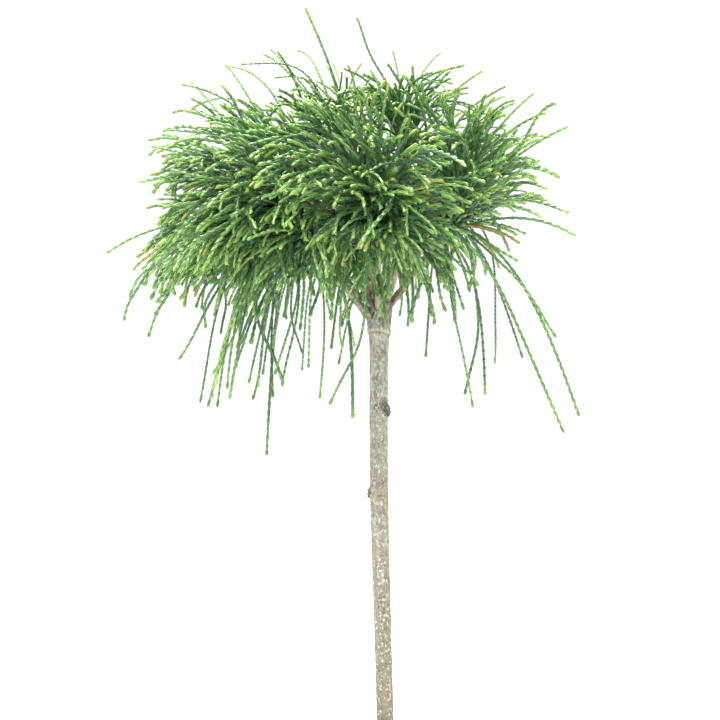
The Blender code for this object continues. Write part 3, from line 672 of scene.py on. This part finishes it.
STRAYS = (
    # storey, the tip's X, Y and Z in mm from the foot, bend in degrees, turns early
    ("top", (-82, -30, 889), 8, False),
    ("top", (-118, 22, 856), 10, False),
    ("top", (6, 10, 852), 12, False),
    ("top", (-55, 40, 846), 34, False),
    ("side", (-198, 20, 822), 20, False),
    ("top", (94, -18, 826), 30, False),
    ("side", (150, 30, 812), 30, False),
    ("side", (176, -36, 768), 34, False),
    ("side", (-281, -14, 646), 60, False),
    ("side", (-226, -40, 596), 50, False),
    ("side", (-182, 30, 492), 70, True),
    ("side", (-119, -24, 446), 60, True),
    ("side", (-66, -56, 502), 60, True),
    ("side", (-34, -70, 484), 66, True),
    ("side", (95, -40, 506), 60, True),
    ("side", (180, 24, 466), 58, True),
    ("side", (190, -30, 482), 62, True),
    ("side", (182, -50, 660), 62, False),
)
ARCHING_WHIPS = (
    # the tip's X, Y and Z in mm from the foot, bend in degrees
    (-163, 24, 840, 60),
    (-158, -34, 826, 30),
    (-204, -20, 812, 75),
    (-206, 40, 799, 95),
    (-210, -44, 778, 75),
    (-228, 12, 770, 60),
    (-236, -30, 753, 60),
    (-244, 36, 745, 70),
    (-248, -8, 719, 60),
    (-124, -10, 844, 24),
    (-92, 34, 858, 56),
    (120, 14, 818, 74),
    (126, -38, 790, 74),
    (160, 6, 788, 66),
    (168, 40, 770, 70),
    (62, -26, 824, 28),
    (68, 30, 822, 100),
    (26, -30, 830, 20),
    (168, -20, 723, 70),
    (184, 16, 690, 62),
    (70, 90, 804, 60),
    (98, 64, 798, 66),
    (84, 120, 790, 70),
)


class Mass:
    """One mass of foliage: a woody twig that carries on from its bough, and its cords."""

    def __init__(self, name, room, limb_name, seed):
        self.name, self.room, self.seed = name, room, seed
        self.random = random.Random(seed)
        self.twigs, self.cords, self.nodes = [], [], []
        self.margin, self.order = SOLID_MARGIN, 0
        points, radii = limbs[limb_name]
        heading = (points[-1] - points[-2]).normalized()
        start = points[-1] + heading * TWIG_GAP
        if room.storey == "top":
            end = outline_point(compass(room.azimuth, TOP_HEART[0]), TOP_HEART[1])
        else:
            end = AXIS_FOOT + compass(room.azimuth) * SIDE_HEART[0]
            end.x += 0.12 * (CROWN_CENTRE.x - STEM_LEAN)
            end.z = SIDE_HEART[1] + CROWN_TILT * (end.x - CROWN_CENTRE.x)
        collar = start + heading * TWIG_COLLAR
        path = [start, *bezier(collar, collar + heading * (end - start).length * 0.4, end, 5)]
        thick = [radii[1], *(mix(radii[1], radii[1] * TWIG_TAPER, index / 4) for index in range(5))]
        self.twigs.append((path, thick))
        for index in range(TWIG_NODES):
            share = mix(0.3, 1.0, index / (TWIG_NODES - 1))
            spot = along(path, min(share, 0.999))
            ahead = (spot - along(path, share - 0.08)).normalized()
            self.nodes.append([spot, ahead, 0])

    def fits(self, points):
        """Whether a cord keeps to the mass's room and clear of the limbs."""
        inside = all(self.room.holds(point, self.margin) for point in points[1:])
        if not inside or gap_to_limbs(points[1:]) < CORD_RADIUS + LIMB_GAP:
            return False
        return self.order == 0 or in_box(points)

    def cord_that_fits(self, start, tip, bend, early):
        """A cord from start to tip, straightened step by step until it fits, or None."""
        sweep, hook, wave = self.random.uniform(-0.06, 0.06), LATE_TURN, 0.0
        if self.order:
            sweep, hook, wave = sweep * 2.4, self.random.uniform(1.0, 2.6), 0.022
        count = 4 + int((tip - start).length / 0.045)
        for _ in range(5):
            points = cord_path(start, tip, bend, early, sweep, count, hook)
            if self.fits(points):
                count = count * 2 + 2 + 4 * self.order
                wavy = cord_path(start, tip, bend, early, sweep, count, hook, wave)
                if self.order == 0 or in_box(wavy):
                    return wavy
                return cord_path(start, tip, bend, early, sweep, count, hook)
            sweep, bend = -sweep * 0.5, bend * 0.6
        return None

    def grow_arm(self, tip, bend, early, favourite, side_cords=2):
        """One long cord to the tip, from the twig's best node, with its side cords."""
        best, least = None, math.inf
        for node in self.nodes:
            spot, ahead, used = node
            chord = tip - spot
            if ARM_LENGTHS[0] < chord.length < ARM_LENGTHS[1]:
                cost = abs(chord.length - favourite) / favourite + 0.30 * used
                cost += 0.9 * (1 - chord.dot(ahead) / chord.length)
                if cost < least:
                    best, least = node, cost
        if best is None:
            return False
        points = self.cord_that_fits(best[0], tip, bend, early)
        if points is None:
            return False
        best[2] += 1
        self.cords.append((points, 0, side_cords == 0))
        if self.order == 0:
            # The solids draw a leaf's place and turn here. The same draws keep the same cords.
            self.random.uniform(0, 1)
            self.random.uniform(0, 1)
        for index in range(min(1, side_cords) if early else side_cords):
            share = 0.50 + 0.22 * index if self.order == 0 else self.random.uniform(0.3, 0.85)
            self.grow_side_cord(points, share, index)
        return True

    def grow_side_cord(self, arm, share, index, rank=1):
        """A short cord that forks off a long one, droops, and takes the next side round it."""
        start = along(arm, share)
        ahead = (along(arm, share + 0.04) - start).normalized()
        length = self.random.uniform(*SIDE_LENGTH) * (1.15 - 0.5 * share)
        lean = SIDE_LEAN
        if self.order:
            lean = self.random.uniform(17, 42)
            length *= (0.85 if rank > 1 else 1.25) * (1.5 - lean / 60)
        for trial in range(6):
            across = ahead.cross(UP).normalized()
            across.rotate(Matrix.Rotation(math.pi * index + self.random.uniform(-0.9, 0.9), 3, ahead))
            across.rotate(Matrix.Rotation(trial * 1.1, 3, ahead))
            way = ahead * math.cos(math.radians(lean)) + across * math.sin(math.radians(lean))
            tip = start + way * length - UP * length * SIDE_DROOP
            if self.order and outline_share(tip) > 1.0 and tip.z > 0.66:
                length *= 0.86
                continue
            points = self.cord_that_fits(start, tip, SIDE_BEND, False)
            if points:
                self.cords.append((points, rank, False))
                return


masses = []
for index, side in enumerate(SIDES):
    room = Room("side", side_azimuths[index], 360 / len(SIDES))
    masses.append(Mass(f"foliage_{side}", room, f"bough_{side}", 100 + index))
masses.append(Mass("top_foliage_left", Room("top", 180, 180), "leader_left", 106))
masses.append(Mass("top_foliage_right", Room("top", 0, 180), "leader_right", 107))


def fill_mass(mass, arms, reach, space, side_cords):
    """Fills a mass's room evenly: each tip keeps its distance from those before."""
    tips = []
    tries = 120 * arms
    for index in range(tries):
        if len(tips) == arms:
            break
        direction = spread(index * 16 + mass.seed + 5000 * mass.order)
        direction.z *= 1.7 if direction.z > 0 else 0.9
        direction.normalize()
        if mass.order and direction.z > 0.4 and mass.random.random() < 0.90:
            continue
        share = mass.random.uniform(*reach)
        tip = outline_point(direction, share - 0.06 if mass.order and direction.z > 0.6 else share)
        spacing = space * (1 - index / tries)
        if not mass.room.holds(tip, mass.margin):
            continue
        if any((tip - other).length < spacing for other in tips):
            continue
        bend = mass.random.uniform(*ARM_BEND) * (0.6 if direction.z > 0.75 else 1.0)
        favourite = mass.random.uniform(*ARM_FAVOURITE)
        if mass.order:
            bend, favourite = bend * (1.5 if direction.z > 0.2 else 1.2), favourite * 1.4
        early = direction.z < -0.55
        if mass.grow_arm(tip, bend, early, favourite, side_cords):
            tips.append(tip)


def hang_cords(mass, cords):
    """A side mass's longest cords, which hang well below the crown."""
    for _ in range(cords):
        turn = mass.room.azimuth + mass.room.width * mass.random.uniform(-0.42, 0.42)
        tip = AXIS_FOOT + compass(turn) * mass.random.uniform(*HANG_OUT) * MM
        tip.x -= HANG_LEFT
        drop = HANG_DROP * mass.random.uniform(0.35, 1.0)
        tip.z = HANG_HEIGHT - drop + CROWN_TILT * 0.5 * (tip.x - CROWN_CENTRE.x)
        if not -BARE_STEM < tip.x < BARE_STEM * (1 + mass.order) and mass.room.holds(tip, mass.margin):
            mass.grow_arm(tip, 64, True, 0.120, 0)


def drape_cords(mass, cords, width, reaches):
    """Cords that arch out and down and make the crown's lower edge, lowest at the left."""
    for _ in range(cords):
        turn = mass.room.azimuth + mass.room.width * mass.random.uniform(-width, width)
        out = compass(turn)
        wide = CROWN_RIGHT if out.x > 0 else CROWN_LEFT + 0.016
        reach = mass.random.uniform(*reaches)
        tip = CROWN_CENTRE + Vector((out.x * wide, out.y * CROWN_DEPTH * 0.96, 0)) * reach
        tip.z = mix(*DRAPE_HEIGHTS, (1 + out.x * reach) / 2) + DRAPE_SCATTER * mass.random.random() ** 0.8
        if mass.room.holds(tip, mass.margin):
            mass.grow_arm(tip, mass.random.uniform(54, 80), reach < 0.6, 0.130, 1)


def hide_boughs(mass, cords):
    """Short cords of the front masses, which hang before the boughs and the leaders."""
    for _ in range(cords):
        tip = Vector([mass.random.uniform(*ends) for ends in VEIL])
        if abs(tip.x) < 0.014:
            tip.z += 0.026
        if mass.room.holds(tip, mass.margin):
            mass.grow_arm(tip, 70, True, 0.080, 1)


def fly_away(mass, cords):
    """Single cords that reach past the rest at the top and the sides, with no side cords."""
    for index in range(cords * 6):
        direction = spread(index * 7 + 3 * mass.seed)
        direction.z = abs(direction.z) if mass.room.storey == "top" else direction.z * 0.8
        direction.normalize()
        most = 1.16 + 0.36 * direction.z if direction.z > 0.2 else 1.12
        tip = outline_point(direction, mass.random.uniform(1.04, most))
        if cords and tip.x > -0.23 and mass.room.holds(tip, mass.margin) and direction.z > -0.35:
            cords -= mass.grow_arm(tip, mass.random.uniform(24, 96), False, 0.150, 0)


# The cords that the solids hold too, drawn in the same order.
for storey, tip, bend, early in STRAYS:
    place = Vector(tip) * MM
    for mass in masses:
        if mass.room.storey == storey and mass.room.holds(place, SOLID_MARGIN):
            mass.grow_arm(place, bend, early, STRAY_LENGTH, 0)
for mass in masses:
    fill_mass(mass, ARMS[mass.room.storey], (0.86, 1.06), 0.060, 2)
    if mass.room.storey == "side":
        hang_cords(mass, HANGING)
        drape_cords(mass, DRAPES, 0.42, (0.70, 1.0))


def by_side(middle, right, left, lefter):
    """A value that changes from the middle to either side, lefter being -1 to 1."""
    return middle + (right if lefter < 0 else left) * lefter


# The finer shoots: more arms within the same reach, more side cords, and whips on those.
for mass in masses:
    mass.order, mass.margin = 1, FINE_MARGIN
    solid_cords = list(mass.cords)
    storey = mass.room.storey
    lefter = -compass(mass.room.azimuth).x if storey == "side" else 0.0
    more = int(MORE_ARMS[storey] * by_side(1, 0.48, 0.84, lefter))
    most = by_side(0.98, 0.03, 0.07, lefter)
    fill_mass(mass, more, (0.60 + 0.08 * max(0, lefter), most), 0.034, 2)
    fill_mass(mass, INNER_ARMS[storey], (0.32, 0.60), 0.040, 1)
    if storey == "side":
        hang_cords(mass, int(MORE_HANGING * by_side(1, 0.4, 0.8, lefter)))
        drapes = int(MORE_DRAPES * by_side(1, 0.84, 0.80, lefter))
        drape_cords(mass, drapes, 0.5, (0.42, 0.92 + 0.10 * lefter))
    if "front" in mass.name:
        hide_boughs(mass, 36)
    fly_away(mass, 9 if storey == "top" else 7)
    for points, rank, single in solid_cords:
        if rank == 0 and not single:
            mass.grow_side_cord(points, mass.random.uniform(0.3, 0.6), mass.random.random())
    for points, rank, single in list(mass.cords):
        if rank == 1 and mass.random.random() < 0.2:
            mass.grow_side_cord(points, mass.random.uniform(0.3, 0.6), mass.random.random(), rank=2)

# Single whips that arch over around the crown's upper edge.
for *tip, bend in ARCHING_WHIPS:
    place = Vector(tip) * MM
    for mass in masses:
        if mass.room.holds(place, 0):
            mass.grow_arm(place, bend, False, STRAY_LENGTH, 1)


def joined_mesh(name, points, corners, tints=None, smooth=False):
    """One mesh from arrays of points, of three-cornered faces and of their materials."""
    mesh = bpy.data.meshes.new(name)
    mesh.vertices.add(len(points))
    mesh.vertices.foreach_set("co", np.asarray(points, dtype=np.float32).ravel())
    mesh.loops.add(corners.size)
    mesh.loops.foreach_set("vertex_index", np.asarray(corners, dtype=np.int32).ravel())
    mesh.polygons.add(len(corners))
    mesh.polygons.foreach_set("loop_start", np.arange(0, corners.size, 3, dtype=np.int32))
    if tints is not None:
        mesh.polygons.foreach_set("material_index", np.asarray(tints, dtype=np.int32))
    mesh.update(calc_edges=True)
    mesh.polygons.foreach_set("use_smooth", np.full(len(corners), smooth))
    made = bpy.data.objects.new(name, mesh)
    bpy.context.scene.collection.objects.link(made)
    return made


BUD_LENGTH = 0.0085
BUD_RINGS = np.array((0.0055, 0.0028, 0.0010, 0.0))  # how far before the tip
BUD_SWELL = np.array(((1.30, 1.50, 1.25, 0.65), (1.50, 1.90, 1.65, 0.80)))  # usual, hanging


class Path:
    """A cord's line at even steps, with a frame carried along it without twisting."""

    def __init__(self, points, step, bud=False):
        raw = np.array(points)
        run = np.concatenate(([0.0], np.cumsum(np.linalg.norm(np.diff(raw, axis=0), axis=1))))
        self.length = run[-1]
        count = max(3, int(round(self.length / step)) + 1)
        self.far = np.linspace(0, self.length, count)
        if bud:
            even = np.linspace(0, self.length - BUD_LENGTH, count)
            self.far = np.append(even, self.length - BUD_RINGS)
            count = len(self.far)
        self.points = np.column_stack([np.interp(self.far, run, raw[:, axis]) for axis in range(3)])
        if count > 4:
            self.points[1:-1] = (self.points[:-2] + self.points[2:] + 2 * self.points[1:-1]) / 4
        ahead = np.gradient(self.points, axis=0)
        self.ahead = ahead / np.linalg.norm(ahead, axis=1)[:, None]
        out = np.cross(self.ahead[0], (0.31, 0.42, 0.85))
        self.out = np.zeros_like(self.points)
        for index, way in enumerate(self.ahead):
            out = out - way * out.dot(way)
            out /= np.linalg.norm(out)
            self.out[index] = out
        self.across = np.cross(self.ahead, self.out)


def tube_arrays(path, radii, sides):
    """A closed tube along a path: its points and three-cornered faces."""
    turns = np.arange(sides) * 2 * math.pi / sides
    outward = path.out[:, None] * np.cos(turns)[None, :, None]
    sideways = path.across[:, None] * np.sin(turns)[None, :, None]
    rings = (path.points[:, None] + radii[:, None, None] * (outward + sideways)).reshape(-1, 3)
    points = np.vstack([rings, path.points[0], path.points[-1]])
    base = (np.arange(len(path.points) - 1) * sides)[:, None]
    here = np.arange(sides)
    after = (here + 1) % sides
    a, b, c, d = base + here, base + after, base + sides + after, base + sides + here
    walls = [np.stack(corners, -1).reshape(-1, 3) for corners in ((a, b, c), (a, c, d))]
    last = (len(path.points) - 1) * sides
    foot = np.stack([np.full(sides, len(rings)), after, here], -1)
    head = np.stack([np.full(sides, len(rings) + 1), last + here, last + after], -1)
    return points, np.vstack([*walls, foot, head])


class Pile:
    """Collects arrays of points and faces for one joined mesh."""

    def __init__(self):
        self.points, self.faces, self.tints, self.count = [], [], [], 0

    def add(self, points, faces, tints=None):
        self.points.append(points)
        self.faces.append(faces + self.count)
        self.tints.append(np.zeros(len(faces), int) if tints is None else tints)
        self.count += len(points)

    def mesh(self, name):
        tints = np.concatenate(self.tints)
        return joined_mesh(name, np.vstack(self.points), np.vstack(self.faces), tints, smooth=True)


WOOD_REACH = 0.34  # the share of the crown's reach inside which shoots have turned to wood
TWIG_STEP, CORD_STEP = 0.004, 0.0085
TWIG_SIDES, WOOD_SIDES, CORD_SIDES = 8, 5, 4
WOOD_THICKNESS, WOOD_TAPER = 0.0017, 0.0005
CORD_THICKNESS, CORD_TAPER = 0.00135, 0.15
RANK_SLIMNESS = (1.0, 0.9, 0.8)  # of arms, side cords and the whips on those
KINDS = ("deep", "middle", "bright", "young", "bronze")
TIP_KINDS, TIP_SHARES = (2, 3, 4, -4), (62, 32, 4, 0.5)  # below 0, the whole cord is of it
# These levels are of age and painted light together.
KIND_LEVELS = (0.64, 0.94)  # where deep growth turns middle, and middle turns bright


def age_and_light_kinds(path, reach, shade, tip_kind):
    """Which kind each step of a cord is: old at its root, young at its tip, with painted light at the top
    and painted shade inside and low down.
    """
    height = path.points[:, 2]
    # Older towards the root, and darker deep inside the crown: there partly older growth, partly painted
    # shade.
    age_and_light = 0.62 * path.far / path.length + 0.42 * np.minimum(1.1, reach) + shade
    # Painted light and shade: steps near the top are dealt brighter kinds, where light falls, and steps low
    # down darker ones, where the cords hang in shade.
    age_and_light += 1.8 * np.clip(height - 0.74, 0, 0.12)
    age_and_light -= 1.6 * np.clip(0.70 - height, 0, 0.16)
    kinds = np.digitize(age_and_light, KIND_LEVELS)
    left = path.length - path.far
    kinds[(left < 0.016) & (kinds < 2)] += 1
    kinds[left < 0.007] = abs(tip_kind)
    return np.full(len(kinds), 4) if tip_kind < 0 else kinds


wood = Pile()
stalks = [Pile(), Pile()]
leaf_rows = []
shade_random = random.Random(7)
for mass in masses:
    for points, radii in mass.twigs:
        path = Path(points, TWIG_STEP)
        thick = np.interp(path.far / path.length, np.linspace(0, 1, len(radii)), radii)
        wood.add(*tube_arrays(path, thick, TWIG_SIDES))
    for points, rank, single in mass.cords:
        points = drawn_in(points)
        path = Path(points, CORD_STEP, bud=True)
        shares = path.far / path.length
        slim = 0.8 if single else RANK_SLIMNESS[rank]
        slim *= 0.85 if points[-1].z > 0.78 else 1.0
        reach = np.array([outline_share(Vector(spot)) for spot in path.points])
        shade = shade_random.gauss(0, 0.19)
        full = shade_random.choice((0.88, 0.94, 1.0, 1.05, 1.1, 1.2))
        tip_kind = shade_random.choices(TIP_KINDS, TIP_SHARES)[0]
        thick = CORD_THICKNESS * full * slim * (1.0 - CORD_TAPER * shares)
        hangs = int(points[-1].z < 0.62)
        thick[-len(BUD_RINGS) :] *= BUD_SWELL[hangs]
        # Painted shade: the tip of a cord that hangs below the crown is dealt one kind darker.
        if hangs and tip_kind > 1:
            tip_kind -= 1
        woody = np.nonzero((reach < WOOD_REACH) & (shares < 0.5))[0]
        if rank == 0 and len(woody) >= 2:
            part = Path([Vector(spot) for spot in path.points[: woody.max() + 2]], CORD_STEP)
            sleeve = WOOD_THICKNESS - WOOD_TAPER * part.far / part.length
            wood.add(*tube_arrays(part, sleeve, WOOD_SIDES))
        kinds = age_and_light_kinds(path, reach, shade, tip_kind)
        walls = np.tile(np.repeat(kinds[1:], CORD_SIDES), 2)
        ends = np.repeat(kinds[[0, -1]], CORD_SIDES)
        stalks[rank > 0].add(*tube_arrays(path, thick, CORD_SIDES), np.concatenate([walls, ends]))
        leaf_rows.append((points, rank, shade, full * slim, tip_kind))

twig_bark_finish = bark_finish(
    "twig_bark_finish",
    plates=(0.25, 0.145, 0.080),
    patches=(0.18, 0.100, 0.055),
    cork=(0.11, 0.055, 0.028),
    lichen=(0.33, 0.22, 0.13),
    grain=(520, 520, 300),
    bump=0.6,
)
woody_twigs = wood.mesh("woody_twigs")
woody_twigs.data.materials.append(twig_bark_finish)
MASS_NODES = [f"foliage_{side}" for side in SIDES] + ["top_foliage_left", "top_foliage_right"]
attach(woody_twigs, "root")
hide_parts(*MASS_NODES)

# ---------------------------------------------------------------- leaves
# Awl-shaped scale leaves in crossed pairs, pressed along each cord so that it looks braided.
# Old shoots are deep green, new growth is bright, the tips are yellow-green, a few bronze.
# The greens are also painted lighter at the crown's top and darker inside it and low down, as painted light
# and shade.
# The cords under them have the same colours, with the three greens darker there as painted shade between the
# leaves.

PAIR_STEP = 0.0042
LEAF_LENGTH, LEAF_WIDTH, LEAF_LIFT = 0.0058, 0.0030, 0.00105
TIP_REACH = 0.022  # leaves get smaller over this length, up to the tip
THINNED_REACH = 0.58  # inside this share of the reach, every other pair is left out
LEAF_SHAPE = np.array(
    (
        # along the cord as a share of the length, across as a share of the width, how far out
        (0.0, -0.45, 0.0),
        (0.0, 0.45, 0.0),
        (0.40, 0.0, 1.0),
        (0.55, -0.42, 0.45),
        (0.55, 0.42, 0.45),
        (1.0, 0.0, 1.2),
    )
)
LEAF_FACES = np.array(
    ((0, 2, 3), (2, 5, 3), (1, 4, 2), (2, 4, 5), (0, 1, 2), (0, 3, 4), (0, 4, 1), (3, 5, 4))
)
LEAF_COLOURS = {
    "deep": (0.071, 0.152, 0.066),
    "middle": (0.110, 0.240, 0.075),
    "bright": (0.190, 0.345, 0.085),
    "young": (0.240, 0.350, 0.070),
    "bronze": (0.25, 0.225, 0.06),
}
# Painted shade: the green cords are darkened by this share, for the shade between the leaves.
CORD_PAINTED_SHADE = 0.75
MOST_LEAVES = 24000  # in one piece


def leaf_arrays(place, ahead, out, size, core, lift):
    """Many leaves at once: each keeled, its root sunk in the cord, its tip standing off."""
    across = np.cross(ahead, out)
    along_part = LEAF_SHAPE[:, 0][None, :, None] * (LEAF_LENGTH * size)[:, None, None] * ahead[:, None]
    across_part = LEAF_SHAPE[:, 1][None, :, None] * (LEAF_WIDTH * size)[:, None, None] * across[:, None]
    height = (core * 0.5)[:, None] + LEAF_SHAPE[:, 2][None] * lift[:, None]
    points = place[:, None] + along_part + across_part + height[..., None] * out[:, None]
    faces = LEAF_FACES[None] + (np.arange(len(place)) * len(LEAF_SHAPE))[:, None, None]
    return points.reshape(-1, 3), faces.reshape(-1, 3)


leaves = {kind: [] for kind in KINDS}
leaf_random = np.random.default_rng(11)
for points, rank, shade, full, tip_kind in leaf_rows:
    path = Path(points, PAIR_STEP)
    shares = path.far / path.length
    keep = path.far < path.length - LEAF_LENGTH * 0.64
    reach = np.array([outline_share(Vector(spot)) for spot in path.points])
    if rank == 0:
        keep &= (reach > WOOD_REACH) | (shares > 0.5)
    else:
        keep &= path.far > 0.003
    even = np.arange(len(reach)) % 2 == 0
    keep &= (reach > THINNED_REACH) | even
    kinds = age_and_light_kinds(path, reach, shade - 0.10, tip_kind)
    # Painted light: on every other pair, many deep and middle leaves are dealt one kind lighter, for the
    # light that catches that rank of crossed pairs.
    lighter = (kinds < 2) & even & (leaf_random.random(len(kinds)) < 0.55)
    kinds = kinds + lighter
    for index in np.nonzero(keep)[0]:
        turn = index * math.pi / 2 + shade * 9
        out = path.out[index] * math.cos(turn) + path.across[index] * math.sin(turn)
        tip_near = max(0.0, 1 - (path.length - path.far[index]) / TIP_REACH)
        size = full * (0.94 + 0.12 * leaf_random.random()) * (1 - 0.2 * tip_near)
        lift = LEAF_LIFT * full * (0.85 + 0.4 * leaf_random.random())
        for side in (1, -1):
            row = (*path.points[index], *path.ahead[index], *(out * side), size, CORD_THICKNESS * full, lift)
            leaves[KINDS[kinds[index]]].append(row)


def foliage_finish(name, colour, vary, roughness):
    """A leaf's waxy green: its colour wanders a little from spray to spray."""
    made = new_finish(name, {"Specular IOR Level": 0.5})
    tree = made.node_tree
    place = add_node(tree, "ShaderNodeTexCoord").outputs["Object"]
    looks = {"Scale": 42, "Detail": 5, "Roughness": 0.7}
    cloud = add_node(tree, "ShaderNodeTexNoise", looks, {"Vector": place}).outputs["Fac"]
    darker = (*(channel * (1 - vary) for channel in colour), 1)
    lighter = (*(channel * (1 + vary) for channel in colour), 1)
    blend = add_node(
        tree, "ShaderNodeMix", {"A": darker, "B": lighter}, {"Factor": cloud}, data_type="RGBA"
    )
    levels = {"To Min": roughness - 0.12, "To Max": roughness + 0.12}
    wax = add_node(tree, "ShaderNodeMapRange", levels, {"Value": cloud})
    skin = {"Base Color": blend.outputs["Result"], "Roughness": wax.outputs["Result"]}
    wire(tree.nodes["Principled BSDF"], {}, skin)
    return made


leaf_finishes, cord_finishes = {}, {}
for kind, tint in LEAF_COLOURS.items():
    leaf_finishes[kind] = foliage_finish(f"{kind}_leaf_finish", tint, 0.35, 0.36)
    # Deep, middle and bright cords are painted darker as shade between the leaves; young and bronze ones
    # keep their colour.
    shaded = tint if kind in ("young", "bronze") else tuple(channel * CORD_PAINTED_SHADE for channel in tint)
    cord_finishes[kind] = foliage_finish(f"{kind}_cord_finish", shaded, 0.3, 0.5)
pieces = []
for kind, rows in leaves.items():
    parts = max(1, math.ceil(len(rows) / MOST_LEAVES))
    for part in range(parts):
        table = np.array(rows[part::parts])
        vectors, sizes = np.split(table[:, :9], 3, axis=1), table[:, 9:].T
        name = f"{kind}_leaves_{part + 1}" if parts > 1 else f"{kind}_leaves"
        pieces.append(joined_mesh(name, *leaf_arrays(*vectors, *sizes)))
        pieces[-1].data.materials.append(leaf_finishes[kind])
for name, pile in zip(("main_cords", "side_cords"), stalks):
    pieces.append(pile.mesh(name))
    for kind in KINDS:
        pieces[-1].data.materials.append(cord_finishes[kind])
for piece in pieces:
    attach(piece, "root")
    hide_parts(*MASS_NODES)

bpy.context.view_layer.update()
